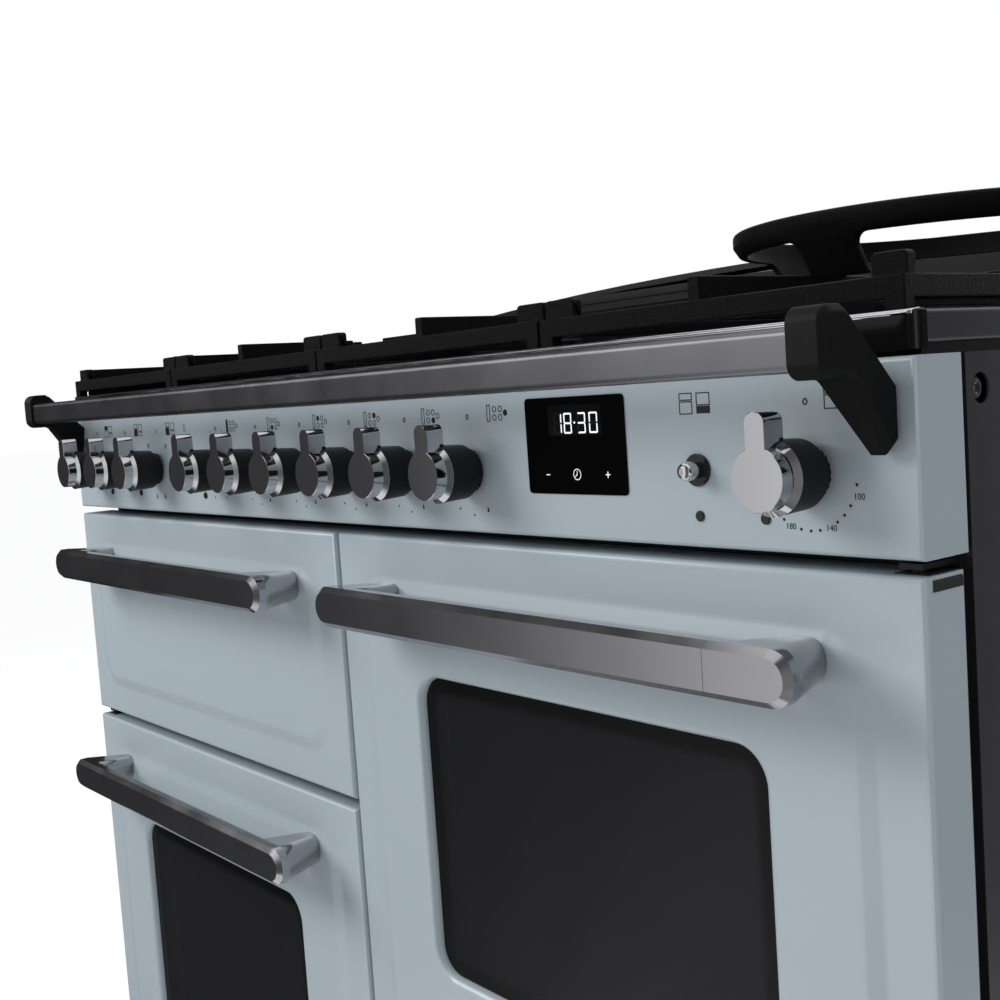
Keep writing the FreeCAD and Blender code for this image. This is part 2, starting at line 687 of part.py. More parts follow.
def rack(door):
    """A wire shelf lying on the middle ledges of an oven."""
    x = DOORS[door][0] * COLUMN_X
    low, high = cavity_heights(door)
    pitch = (high - low) / (LEDGE_ROWS + 1)
    z = low + pitch * 2 + LEDGE_THICK + RACK_FRAME_WIRE
    half = CAVITY_WIDTH / 2 - RACK_FRAME_WIRE - 2
    front = depth(FLANGE_FACE) + RACK_FRONT_GAP
    back = depth(CAVITY_BACK) - BAFFLE_SPACE - RACK_FRONT_GAP
    pieces = [along_y(x + s * half, front, z, RACK_FRAME_WIRE, back - front) for s in (LEFT, RIGHT)]
    pieces += [along_x(x - half, y, z, RACK_FRAME_WIRE, 2 * half) for y in (front, back)]
    pieces += [Part.makeSphere(RACK_FRAME_WIRE, Vector(x + s * half, y, z))
               for s in (LEFT, RIGHT) for y in (front, back)]
    for i in range(RACK_WIRES):
        wire_x = x - half + 2 * half * (i + 1) / (RACK_WIRES + 1)
        pieces.append(along_y(wire_x, front, z, RACK_WIRE, back - front))
    return join(pieces)


def carriage_limits():
    """Half width, front and back of the grill carriage, and the height of its top."""
    return (CAVITY_WIDTH / 2 - CARRIAGE_PLAY, depth(DOOR_THICK), depth(CAVITY_BACK) - CARRIAGE_BACK_GAP,
            cavity_heights("grill")[1] - CARRIAGE_DROP)


def grill_carriage():
    """The frame that carries the grill pan, fixed to the drawer front, sliding between the ledges."""
    half, front, back, top = carriage_limits()
    outer = block(-COLUMN_X - half, -COLUMN_X + half, front, back, top - CARRIAGE_BAR, top)
    inner = half - CARRIAGE_BAR
    return outer.cut(block(-COLUMN_X - inner, -COLUMN_X + inner, front + CARRIAGE_BAR, back - CARRIAGE_BAR,
                           top - CARRIAGE_BAR - 1, top + 1))


def grill_pan():
    half, front, back, top = carriage_limits()
    inset = CARRIAGE_BAR + PAN_PLAY

    def layer(grow, z0, z1):
        reach = half - inset + grow
        return block(-COLUMN_X - reach, -COLUMN_X + reach, front + inset - grow, back - inset + grow, z0, z1)

    tray = layer(0, top - PAN_DEPTH, top + PAN_SHEET).fuse(layer(PAN_LIP, top, top + PAN_SHEET))
    return tray.cut(layer(-PAN_SHEET, top - PAN_DEPTH + PAN_SHEET, top + PAN_SHEET + 1))


# ---- doors ----
def window_box(side, high):
    x = side * COLUMN_X
    top = high - WINDOW_DROP
    return x - WINDOW_WIDTH / 2, x + WINDOW_WIDTH / 2, top - WINDOW_HEIGHT, top


def pillow(x0, x1, z0, z1):
    """The raised middle of a door skin: its edge climbs in a soft curve all round."""
    outlines = []
    for share in PILLOW_STEPS:
        inset = PILLOW_EDGE + PILLOW_SLOPE * share
        rise = PILLOW_RISE * (1 - math.cos(math.pi * share)) / 2
        outlines.append(rounded_outline(x0 + inset, x1 - inset, z0 + inset, z1 - inset,
                                        PILLOW_ROUND - PILLOW_SLOPE * share, FRONT - rise))
    return Part.makeLoft(outlines, True, True)


def door_shell(door, window):
    """Pressed outer skin, folded back all round, with hinge bosses where the door swings."""
    side, low, high = DOORS[door]
    x0, x1 = sorted(column(side))
    back = depth(DOOR_THICK)
    skin = block(x0, x1, FRONT, back, low, high)
    skin = skin.makeFillet(DOOR_ROUND, edges_at(skin, 1, FRONT))
    skin = skin.cut(block(x0 + DOOR_SHEET, x1 - DOOR_SHEET, FRONT + DOOR_SHEET, back + 1,
                          low + DOOR_SHEET, high - DOOR_SHEET))
    skin = skin.fuse(pillow(x0, x1, low, high))
    if window:
        wx0, wx1, wz0, wz1 = window_box(side, high)
        collar = rounded_slab(wx0 - DOOR_SHEET, wx1 + DOOR_SHEET, wz0 - DOOR_SHEET, wz1 + DOOR_SHEET,
                              WINDOW_ROUND + DOOR_SHEET, FRONT, FRONT + WINDOW_DEPTH)
        hole = rounded_slab(wx0, wx1, wz0, wz1, WINDOW_ROUND, FRONT - PILLOW_RISE - 1, back + 1)
        skin = skin.fuse(collar).cut(hole)
    if door != "grill":
        for top in (True, False):
            skin = skin.fuse(hinge_boss(side, low, high, top))
        for top in (True, False):
            skin = skin.cut(hinge_bore(side, low, high, top))
    return skin


def hinge_boss(side, low, high, top):
    length = PIN_LENGTH + 4
    z = high - DOOR_SHEET - length if top else low + DOOR_SHEET
    return along_z(side * HINGE_X, depth(HINGE_DEPTH), z, BOSS_R, length)


def hinge_bore(side, low, high, top):
    length = PIN_LENGTH + 3
    z = high - length + 1 if top else low - 1
    return along_z(side * HINGE_X, depth(HINGE_DEPTH), z, PIN_R + RUNNING_GAP, length)


def door_liner(door, window):
    side, low, high = DOORS[door]
    x0, x1 = sorted(column(side))
    inset = DOOR_SHEET + FIT_GAP / 2
    back = depth(DOOR_THICK)
    plate = block(x0 + inset, x1 - inset, back - LINER_SHEET, back, low + inset, high - inset)
    if window:
        wx0, wx1, wz0, wz1 = window_box(side, high)
        plate = plate.cut(rounded_slab(wx0, wx1, wz0, wz1, WINDOW_ROUND, back - LINER_SHEET - 1, back + 1))
    return plate


def door_glass(door):
    """Outer pane behind the skin's collar and inner pane in front of the liner."""
    side, _, high = DOORS[door]
    wx0, wx1, wz0, wz1 = window_box(side, high)
    panes = []
    outer_front = FRONT + WINDOW_DEPTH
    inner_back = depth(DOOR_THICK - LINER_SHEET)
    for y0 in (outer_front, inner_back - GLASS):
        panes.append(rounded_slab(wx0 - GLASS_LAP, wx1 + GLASS_LAP, wz0 - GLASS_LAP, wz1 + GLASS_LAP,
                                  WINDOW_ROUND, y0, y0 + GLASS))
    return panes


def hinge_bracket(side, gap_foot, gap, down, up, back):
    """A steel tongue in the gap above or below a door, with the pins that the doors turn on."""
    x, y = side * HINGE_X, depth(HINGE_DEPTH)
    clear = (gap - HINGE_PLATE) / 2
    z = gap_foot + clear
    pieces = [block(x - HINGE_REACH, x + HINGE_REACH, y - HINGE_REACH, back, z, z + HINGE_PLATE)]
    if up:
        pieces.append(along_z(x, y, z + HINGE_PLATE, PIN_R, PIN_LENGTH + clear))
    if down:
        pieces.append(along_z(x, y, z - PIN_LENGTH - clear, PIN_R, PIN_LENGTH + clear))
    return join(pieces)


def hinge_brackets():
    frame, chassis = depth(FRAME_FACE), depth(CHASSIS_FRONT)
    brackets = [hinge_bracket(RIGHT, DOOR_TOP, DOOR_TOP_GAP, True, False, frame)]
    for side, door in ((LEFT, "left_oven"), (RIGHT, "slow_oven")):
        brackets.append(hinge_bracket(side, DOORS[door][2], DOOR_GAP, True, side == RIGHT, frame))
        brackets.append(hinge_bracket(side, DOOR_FOOT - DOOR_GAP, DOOR_GAP, False, True, chassis))
    return brackets


def handle(door):
    """A flat-fronted bar with round ends and two bosses that lean inwards to the door."""
    side, low, high = DOORS[door]
    x, z = side * COLUMN_X, high - HANDLE_DROP
    front = FRONT - HANDLE_FRONT
    half = HANDLE_HEIGHT / 2
    bar = block(x - HANDLE_HALF, x + HANDLE_HALF, front, front + HANDLE_THICK, z - half, z + half)
    bar = bar.makeFillet(half * 0.98, edges_along(bar, 1))
    bar = bar.makeChamfer(HANDLE_CHAMFER, edges_at(bar, 1, front))
    core = block(x - HANDLE_HALF, x + HANDLE_HALF, front + SEAM_DEPTH, front + HANDLE_THICK - SEAM_DEPTH,
                 z - half + SEAM_DEPTH, z + half - SEAM_DEPTH)
    for s in (LEFT, RIGHT):
        joint = x + s * HANDLE_SEAM
        band = block(joint - SEAM_WIDTH / 2, joint + SEAM_WIDTH / 2, front - 1, FRONT, z - half - 1, z + half + 1)
        bar = bar.cut(band.cut(core))
    pieces = [bar]
    for s in (LEFT, RIGHT):
        near = sorted((x + s * LEG_INNER, x + s * LEG_OUTER))
        foot = sorted((x + s * LEG_FOOT_INNER, x + s * LEG_FOOT_OUTER))
        top = rounded_outline(near[0], near[1], z - half + 2, z + half - 2, LEG_ROUND, front + HANDLE_THICK - 1)
        seat = rounded_outline(foot[0], foot[1], z - LEG_FOOT_HEIGHT / 2, z + LEG_FOOT_HEIGHT / 2, LEG_ROUND,
                               FRONT)
        pieces.append(Part.makeLoft([top, seat], True))
    x0, x1 = sorted(column(side))
    return join(pieces).cut(pillow(x0, x1, low, high))


# ---- control panel ----
def lamp_places():
    return [(x, PANEL_FOOT + LAMP_HEIGHT) for x in LAMP_X]


def control_panel():
    back = depth(FRAME_FACE)
    panel = block(-SIDE, SIDE, FRONT, back, PANEL_FOOT, PANEL_TOP)
    panel = panel.makeFillet(PANEL_ROUND, edges_at(panel, 1, FRONT))
    t = PANEL_SHEET
    panel = panel.cut(block(t - SIDE, SIDE - t, FRONT + t, back + 1, PANEL_FOOT + t, PANEL_TOP - t))
    holes = [along_y(x, FRONT - 1, KNOB_HEIGHT, SPINDLE_HOLE, t + 2) for x in KNOB_X]
    holes.append(along_y(BUTTON_X, FRONT - 1, PANEL_FOOT + BUTTON_Z, BEZEL_SLEEVE + FIT_GAP, t + 2))
    holes += [along_y(x, FRONT - 1, z, LAMP_STEM + FIT_GAP, t + 2) for x, z in lamp_places()]
    wide, tall = CLOCK_WIDTH / 2 - CLOCK_LAP + FIT_GAP, CLOCK_HEIGHT / 2 - CLOCK_LAP + FIT_GAP
    z = PANEL_FOOT + CLOCK_Z
    holes.append(block(CLOCK_X - wide, CLOCK_X + wide, FRONT - 1, FRONT + t + 1, z - tall, z + tall))
    for hole in holes:
        panel = panel.cut(hole)
    return panel


def clock():
    z = PANEL_FOOT + CLOCK_Z
    wide, tall = CLOCK_WIDTH / 2, CLOCK_HEIGHT / 2
    glass = rounded_slab(CLOCK_X - wide, CLOCK_X + wide, z - tall, z + tall, CLOCK_ROUND,
                         FRONT - CLOCK_GLASS, FRONT)
    body = block(CLOCK_X - wide + CLOCK_LAP, CLOCK_X + wide - CLOCK_LAP, FRONT, FRONT + CLOCK_DEPTH,
                 z - tall + CLOCK_LAP, z + tall - CLOCK_LAP)
    return glass.fuse(body)


def button_bezel_and_lamps():
    z = PANEL_FOOT + BUTTON_Z
    ring = along_y(BUTTON_X, FRONT - BEZEL_OUT, z, BEZEL_R, BEZEL_OUT)
    ring = ring.makeChamfer(BEZEL_OUT * 0.4, edges_at(ring, 1, FRONT - BEZEL_OUT))
    sleeve = along_y(BUTTON_X, FRONT - BEZEL_OUT / 2, z, BEZEL_SLEEVE, BEZEL_IN + BEZEL_OUT / 2)
    bore = along_y(BUTTON_X, FRONT - BEZEL_OUT - 1, z, BUTTON_R + RUNNING_GAP, BEZEL_IN + BEZEL_OUT + 2)
    pieces = [ring.fuse(sleeve).cut(bore)]
    for x, lamp_z in lamp_places():
        dome = along_y(x, FRONT - LAMP_OUT, lamp_z, LAMP_R, LAMP_OUT)
        dome = dome.makeFillet(LAMP_OUT * 0.7, edges_at(dome, 1, FRONT - LAMP_OUT))
        pieces.append(dome.fuse(along_y(x, FRONT - LAMP_OUT / 3, lamp_z, LAMP_STEM, LAMP_STEM_LENGTH)))
    return pieces


def ignition_button():
    z = PANEL_FOOT + BUTTON_Z
    button = along_y(BUTTON_X, FRONT - BUTTON_OUT, z, BUTTON_R, BUTTON_OUT + BUTTON_IN)
    return button.makeFillet(BUTTON_R * 0.7, edges_at(button, 1, FRONT - BUTTON_OUT))


def knob(x):
    """A drum with a bevelled ring and a round face, whose pointer tab stands up at rest."""
    front = FRONT - KNOB_FRONT
    back = FRONT - KNOB_GAP
    ring_y = front + KNOB_FACE_THICK + KNOB_BEVEL
    collar_y = back - COLLAR_LENGTH
    bore = SPINDLE_R + RUNNING_GAP
    bore_y = back - SPINDLE_IN_KNOB - FIT_GAP
    profile = [
        (0, front), (KNOB_FACE - KNOB_CHAMFER, front), (KNOB_FACE, front + KNOB_CHAMFER),
        (KNOB_FACE, front + KNOB_FACE_THICK), (KNOB_RING, ring_y),
        (KNOB_DRUM_END, collar_y - KNOB_DRUM_ROUND), (KNOB_DRUM_END - KNOB_DRUM_ROUND, collar_y),
        (KNOB_COLLAR, collar_y), (KNOB_COLLAR, back), (bore, back), (bore, bore_y), (0, bore_y),
    ]
    points = [Vector(x + r, y, KNOB_HEIGHT) for r, y in profile]
    drum = Part.Face(Part.makePolygon(points + points[:1])).revolve(Vector(x, 0, KNOB_HEIGHT), Vector(0, 1, 0), 360)
    tab = block(x - TAB_WIDTH / 2, x + TAB_WIDTH / 2, front, front + TAB_THICK, KNOB_HEIGHT + KNOB_FACE / 2,
                KNOB_HEIGHT + TAB_REACH)
    tab = tab.makeFillet(TAB_WIDTH * 0.42, [e for e in edges_along(tab, 1)
                                            if abs(e.Vertexes[0].Point.z - KNOB_HEIGHT - TAB_REACH) < 1e-4])
    tab = tab.makeChamfer(KNOB_CHAMFER, edges_at(tab, 1, front))
    return drum.fuse(tab)


def spindle(x):
    start = FRONT - KNOB_GAP - SPINDLE_IN_KNOB
    return along_y(x, start, KNOB_HEIGHT, SPINDLE_R, SPINDLE_IN_KNOB + KNOB_GAP + PANEL_SHEET + 1)


def jet_places():
    """X and distance from the doors of the jet that each tap feeds, from left to right."""
    left, centre = SUPPORT_MIDDLES[1:3]
    return (
        (LONG_BURNER_X, WOK_Y), (left, BURNER_FRONT), (left, BURNER_BACK),
        (centre, BURNER_BACK), (centre, BURNER_FRONT), (WOK_X, WOK_Y),
    )


def burner_pipe(tap_x, burner_x, burner_y):
    """Thin pipe from a tap up, back, across and up into its burner's jet."""
    start_y = FRONT + PANEL_SHEET + TAP_DEPTH - TAP_SIZE / 2
    start_z = KNOB_HEIGHT + TAP_SIZE / 2
    level = (start_z + PANEL_TOP) / 2
    corners = [Vector(tap_x, start_y, start_z), Vector(tap_x, start_y, level), Vector(tap_x, burner_y, level),
               Vector(burner_x, burner_y, level), Vector(burner_x, burner_y, PANEL_TOP)]
    pieces = [Part.makeSphere(THIN_PIPE, corner) for corner in corners[1:-1]]
    for a, b in zip(corners, corners[1:]):
        pieces.append(Part.makeCylinder(THIN_PIPE, (b - a).Length, a, b - a))
    return pieces


def gas_manifold():
    """Pipe with a tap behind each gas knob, led out through the back to the inlet thread."""
    y = depth(PIPE_DEPTH)
    half = TAP_SIZE / 2
    behind_panel = FRONT + PANEL_SHEET
    pieces = []
    for x in TAP_X:
        pieces.append(block(x - half, x + half, behind_panel, behind_panel + TAP_DEPTH,
                            KNOB_HEIGHT - half, KNOB_HEIGHT + half))
        pieces.append(spindle(x))
        pieces.append(along_y(x, behind_panel + TAP_DEPTH - 1, KNOB_HEIGHT, PIPE_R * 0.6,
                              y - behind_panel - TAP_DEPTH + 1))
    pieces.append(along_x(INLET_X, y, KNOB_HEIGHT, PIPE_R, TAP_X[-1] + half - INLET_X))
    for x, (burner_x, burner_y) in zip(TAP_X, jet_places()):
        pieces += burner_pipe(x, burner_x, depth(burner_y))
    pieces.append(Part.makeSphere(PIPE_R, Vector(INLET_X, y, KNOB_HEIGHT)))
    pieces.append(along_y(INLET_X, y, KNOB_HEIGHT, PIPE_R, BACK_PANEL + SHEET - y))
    pieces.append(along_y(INLET_X, BACK_PANEL + SHEET, KNOB_HEIGHT, INLET_R, INLET_LENGTH))
    return join(pieces)


def switch_bank():
    """Oven switches and thermostats behind their knobs, and the switch behind the push button."""
    half = SWITCH_SIZE / 2
    behind_panel = FRONT + PANEL_SHEET
    bank = []
    for x in OVEN_X + [LAST_KNOB_X]:
        body = block(x - half, x + half, behind_panel, behind_panel + SWITCH_DEPTH,
                     KNOB_HEIGHT - half, KNOB_HEIGHT + half)
        bank.append(join([body, spindle(x)]))
    z = PANEL_FOOT + BUTTON_Z
    start = FRONT + BUTTON_IN + BUTTON_TRAVEL + FIT_GAP
    box = block(BUTTON_X - half, BUTTON_X + half, behind_panel, behind_panel + SWITCH_DEPTH, z - half, z + half)
    bank.append(box.cut(along_y(BUTTON_X, FRONT, z, BEZEL_SLEEVE + FIT_GAP, start - FRONT)))
    return bank


# ---- towel rail ----
def rail_limits():
    """Y and Z limits of the rail's section."""
    y0 = depth(RAIL_SETBACK - RAIL_REACH)
    z0 = PANEL_FOOT + RAIL_FOOT
    return y0, y0 + RAIL_THICK, z0, z0 + RAIL_HEIGHT


def towel_rail():
    y0, y1, z0, z1 = rail_limits()
    half = BRACKET_OUTER - RAIL_END_WALL
    bar = block(-half, half, y0, y1, z0, z1)
    return bar.makeFillet(RAIL_ROUND, edges_along(bar, 0))


def rail_bracket(side):
    """A cast elbow: its head cups the end of the rail and its leg is bolted to the control panel."""
    y0, y1, z0, z1 = rail_limits()
    front, neck = depth(-RAIL_REACH), depth(-BRACKET_NECK)
    high, head_low, low = PANEL_FOOT + BRACKET_HIGH, PANEL_FOOT + BRACKET_HEAD_LOW, PANEL_FOOT + BRACKET_LOW
    profile = [
        (front, head_low), (neck, head_low), (depth(-BRACKET_HEEL), low), (FRONT, low + BRACKET_HEEL * 0.7),
        (FRONT, PANEL_TOP - BRACKET_SHOULDER), (neck, high - 3), (neck - 5, high), (front, high),
    ]
    arm = prism_x(profile, side * BRACKET_INNER, side * BRACKET_OUTER)
    corners = [e for e in edges_along(arm, 0) if abs(e.Vertexes[0].Point.y - front) < 1e-4]
    arm = arm.makeFillet(BRACKET_CORNER, corners)
    throat = [e for e in edges_along(arm, 0) if abs(e.Vertexes[0].Point.y - neck) < 1e-4
              and abs(e.Vertexes[0].Point.z - head_low) < 1e-4]
    arm = arm.makeFillet(BRACKET_NECK_ROUND, throat)
    arm = arm.makeChamfer(BRACKET_CHAMFER, edges_at(arm, 0, side * BRACKET_OUTER))
    inner = side * BRACKET_INNER
    wedge = Part.makePolygon([Vector(inner - side, front - 1, head_low), Vector(inner, front - 1, head_low),
                              Vector(inner + side * BRACKET_TAPER, front - 1, low - 1),
                              Vector(inner - side, front - 1, low - 1), Vector(inner - side, front - 1, head_low)])
    arm = arm.cut(Part.Face(wedge).extrude(Vector(0, RAIL_REACH + 2, 0)))
    bar = block(inner, side * (BRACKET_OUTER - RAIL_END_WALL), y0, y1, z0, z1)
    return arm.cut(bar.makeFillet(RAIL_ROUND, edges_along(bar, 0)))


# ---- hob ----
def hob_trims():
    low = HOB_HEIGHT - TRIM_HEIGHT
    half = SIDE
    back_of_front = depth(TRIM_FACE + TRIM_THICK)
    front = block(-half, half, depth(TRIM_FACE), back_of_front, low, HOB_HEIGHT)
    ends = [e for e in edges_along(front, 2) if abs(e.Vertexes[0].Point.y - depth(TRIM_FACE)) < 1e-4]
    front = front.makeFillet(TRIM_CORNER, ends)
    front = front.makeFillet(TRIM_EDGE, [e for e in edges_at(front, 2, HOB_HEIGHT)
                                         if e.BoundBox.YMin < back_of_front - 1e-4])
    sides = []
    for s in (LEFT, RIGHT):
        strip = block(s * half, s * (half - SIDE_TRIM), back_of_front, BACK, low + SIDE_TRIM_LIFT, HOB_HEIGHT)
        outer = [e for e in edges_along(strip, 1) if abs(e.Vertexes[0].Point.x - s * half) < 1e-4]
        sides.append(strip.makeFillet(SIDE_TRIM_ROUND, outer))
    return [front] + sides


def burner_places():
    """X, distance from the doors and radius of the five round burners."""
    left, centre = SUPPORT_MIDDLES[1:3]
    return (
        (left, BURNER_FRONT, LARGE_BURNER), (left, BURNER_BACK, SMALL_BURNER),
        (centre, BURNER_FRONT, SMALL_BURNER), (centre, BURNER_BACK, LARGE_BURNER),
        (WOK_X, WOK_Y, WOK_BURNER),
    )


def hob_tray():
    half = SIDE - SIDE_TRIM
    front = depth(TRIM_FACE + TRIM_THICK)
    wall = block(-half, half, front, BACK, PANEL_TOP, HOB_HEIGHT)
    wall = wall.cut(block(SHEET - half, half - SHEET, front + SHEET, BACK - SHEET, PANEL_TOP - 1, HOB_HEIGHT + 1))
    floor = block(-half, half, front, BACK, TRAY_FLOOR - SHEET, TRAY_FLOOR)
    tray = wall.fuse(floor)
    for x, y, _ in burner_places():
        tray = tray.cut(along_z(x, depth(y), TRAY_FLOOR - SHEET - 1, JET_PIPE + FIT_GAP, SHEET + 2))
    tray = tray.cut(along_z(LONG_BURNER_X, depth(WOK_Y), TRAY_FLOOR - SHEET - 1, JET_PIPE + FIT_GAP, SHEET + 2))
    duct_half = half - VENT_DUCT_INSET
    duct = block(-duct_half, duct_half, depth(VENT_FRONT) + VENT_DUCT_MARGIN, BACK - SHEET - VENT_DUCT_MARGIN,
                 TRAY_FLOOR - SHEET - 1, TRAY_FLOOR + 1)
    return tray.cut(duct).removeSplitter()


def long_shape(radius, z, height):
    """A slab with round ends, standing over the long burner's place."""
    y0, y1 = depth(WOK_Y - LONG_BURNER_HALF), depth(WOK_Y + LONG_BURNER_HALF)
    middle = block(LONG_BURNER_X - radius, LONG_BURNER_X + radius, y0, y1, z, z + height)
    ends = [along_z(LONG_BURNER_X, y, z, radius, height) for y in (y0, y1)]
    return join([middle] + ends)


def burner_bodies():
    bodies = []
    for x, y, radius in burner_places():
        cup = along_z(x, depth(y), TRAY_FLOOR, radius, BURNER_CUP)
        cup = cup.makeChamfer(CAP_STEP, edges_at(cup, 2, TRAY_FLOOR + BURNER_CUP))
        bodies.append(cup.fuse(along_z(x, depth(y), PANEL_TOP, JET_PIPE, TRAY_FLOOR - PANEL_TOP + 1)))
    jet = along_z(LONG_BURNER_X, depth(WOK_Y), PANEL_TOP, JET_PIPE, TRAY_FLOOR - PANEL_TOP + 1)
    bodies.append(join([long_shape(LONG_BURNER_R, TRAY_FLOOR, BURNER_CUP), jet]))
    return bodies


def burner_caps():
    top = TRAY_FLOOR + BURNER_CUP
    caps = []
    for x, y, radius in burner_places():
        cap = along_z(x, depth(y), top, radius - CAP_STEP, BURNER_CAP)
        caps.append(cap.makeFillet(BURNER_CAP * 0.5, edges_at(cap, 2, top + BURNER_CAP)))
    caps.append(long_shape(LONG_BURNER_R - CAP_STEP, top, BURNER_CAP))
    return caps


def vent_arch(rise):
    """Height of the vent's arched top at the middle and at its ends, raised or lowered."""
    return HOB_HEIGHT + VENT_MIDDLE + rise, HOB_HEIGHT + VENT_END + rise


def under_arch(half, foot, rise, y0, y1):
    """A slab that stands on a level foot and ends in the vent's arch."""
    middle, end = vent_arch(rise)
    left, right = Vector(-half, y0, end), Vector(half, y0, end)
    arc = Part.Arc(right, Vector(0, y0, middle), left).toShape()
    sides = Part.makePolygon([left, Vector(-half, y0, foot), Vector(half, y0, foot), right])
    return Part.Face(Part.Wire([arc] + sides.Edges)).extrude(Vector(0, y1 - y0, 0))


def rear_vent():
    """Upstand behind the hob: a level-topped wall with an arched bar over it, apart in the middle."""
    half = SIDE - VENT_INSET
    y0, y1 = depth(VENT_FRONT), depth(VENT_FRONT + VENT_THICK)
    wall_top = HOB_HEIGHT + VENT_WALL
    shell = under_arch(half, TRAY_FLOOR, 0, y0, y1)
    hollow = under_arch(half - SHEET, TRAY_FLOOR - 1, -SHEET, y0 + SHEET, y1 - SHEET)
    gap = under_arch(half, TRAY_FLOOR, -VENT_BAR, y0 - 1, y1 + 1)
    gap = gap.common(block(-half, half, y0 - 1, y1 + 1, wall_top, HOB_HEIGHT + VENT_MIDDLE))
    groove_top = wall_top - VENT_GROOVE_DROP
    groove = block(-half, half, y0 - 1, y0 + VENT_GROOVE / 2, groove_top - VENT_GROOVE, groove_top)
    return shell.cut(hollow).cut(gap).cut(groove)


# ---- pan supports ----
def finger_x(y, start, tip):
    """A finger along X, from a side bar to near the burner."""
    return block(start, tip, depth(y) - FINGER_WIDTH / 2, depth(y) + FINGER_WIDTH / 2,
                 BAR_FOOT, HOB_HEIGHT + FINGER_TOP)


def finger_y(x, start, tip):
    return block(x - FINGER_WIDTH / 2, x + FINGER_WIDTH / 2, depth(start), depth(tip),
                 BAR_FOOT, HOB_HEIGHT + FINGER_TOP)


def corner_post(x, s, y):
    """A flat plate with rounded top corners; those at the sides of the cooker are narrower and set in a little."""
    at_end = x in (SUPPORT_EDGES[0] + SUPPORT_GAP / 2, SUPPORT_EDGES[4] - SUPPORT_GAP / 2)
    start = x + s * (END_POST_INSET if at_end else 0)
    width = END_POST_WIDTH if at_end else POST_WIDTH
    top = HOB_HEIGHT + POST_TOP
    post = block(start, start + s * width, depth(y), depth(y + POST_THICK), BAR_FOOT, top)
    return post.makeFillet(POST_ROUND, [e for e in edges_along(post, 1)
                                        if abs(e.Vertexes[0].Point.z - top) < 1e-4])


def support_frame(x0, x1):
    """Four bars round the edge, a raised plate at each corner and a foot under each."""
    y0, y1 = SUPPORT_FRONT, SUPPORT_BACK
    pieces = [block(x0, x1, depth(y), depth(y + BAR_WIDTH), BAR_FOOT, BAR_TOP) for y in (y0, y1 - BAR_WIDTH)]
    pieces += [block(x, x + BAR_WIDTH, depth(y0), depth(y1), BAR_FOOT, BAR_TOP) for x in (x0, x1 - BAR_WIDTH)]
    for x, s in ((x0, RIGHT), (x1, LEFT)):
        for y in (y0 + POST_SETBACK, y1 - POST_SETBACK - POST_THICK):
            pieces.append(corner_post(x, s, y))
        pieces.append(block(x, x + s * BAR_WIDTH, depth(y0), depth(TRIM_FACE + TRIM_THICK), HOB_HEIGHT, BAR_FOOT))
        pieces.append(block(x, x + s * BAR_WIDTH, depth(y1 - BAR_WIDTH), depth(y1), TRAY_FLOOR, BAR_FOOT))
    return pieces


def pan_support(x0, x1, x, rows):
    """A cast frame with four fingers round each burner in it."""
    pieces = support_frame(x0, x1)
    y0, y1 = SUPPORT_FRONT, SUPPORT_BACK
    ends = [y0 + FINGER_SETBACK] + [(a + b) / 2 for a, b in zip(rows, rows[1:])] + [y1 - FINGER_SETBACK]
    for middle in ends[1:-1]:
        pieces.append(block(x0, x1, depth(middle - BAR_WIDTH / 2), depth(middle + BAR_WIDTH / 2),
                            BAR_FOOT, BAR_TOP))
    for i, y in enumerate(rows):
        pieces.append(finger_y(x, ends[i], y - FINGER_REACH))
        pieces.append(finger_y(x, y + FINGER_REACH, ends[i + 1]))
        pieces.append(finger_x(y, x0, x - FINGER_REACH))
        pieces.append(finger_x(y, x + FINGER_REACH, x1))
    return join(pieces)


def long_support(x0, x1):
    """The left-hand frame: a smooth raised rail on each side, and fingers in to the long burner."""
    pieces = support_frame(x0, x1)
    start, end = SUPPORT_FRONT + POST_SETBACK, SUPPORT_BACK - POST_SETBACK
    reach = LONG_BURNER_R + FINGER_REACH / 2
    for x, s in ((x0, RIGHT), (x1, LEFT)):
        pieces.append(block(x + s * 1, x + s * (1 + RAIL_WIDTH), depth(start), depth(end), BAR_FOOT,
                            HOB_HEIGHT + POST_TOP))
        for i in range(LONG_FINGERS):
            y = WOK_Y + (i - (LONG_FINGERS - 1) / 2) * 2 * LONG_BURNER_HALF / LONG_FINGERS
            pieces.append(finger_x(y, x + s * 1, LONG_BURNER_X - s * reach))
    return join(pieces)


def wok_ring():
    """A cone of cast iron on four feet, with a window between each pair of feet."""
    foot, top = HOB_HEIGHT + FINGER_TOP, HOB_HEIGHT + FINGER_TOP + RING_RISE
    profile = [
        (RING_FOOT_R, foot), (RING_TOP_R, top - RING_LIP), (RING_TOP_R, top - RING_EDGE),
        (RING_TOP_R - RING_EDGE, top), (RING_TOP_R - RING_WALL, top),
        (RING_TOP_R - RING_WALL, top - RING_LIP), (RING_FOOT_R - RING_WALL, foot),
    ]
    points = [Vector(r, 0, z) for r, z in profile]
    cone = Part.Face(Part.makePolygon(points + points[:1])).revolve(Vector(0, 0, 0), Vector(0, 0, 1), 360)
    window = Part.makeCylinder(RING_TOP_R * 2, RING_WINDOW + 1, Vector(0, 0, foot - 1))
    reach = RING_TOP_R * 3
    for a, b in ((reach, RING_FOOT_HALF), (RING_FOOT_HALF, reach)):
        window = window.cut(block(-a, a, -b, b, foot - 2, top))
    corners = [e for e in edges_at(window, 2, foot + RING_WINDOW) if isinstance(e.Curve, Part.Line)]
    window = window.makeFillet(RING_WINDOW_ROUND, corners)
    cone = cone.cut(window)
    cone.translate(Vector(WOK_X, depth(WOK_Y), 0))
    return cone


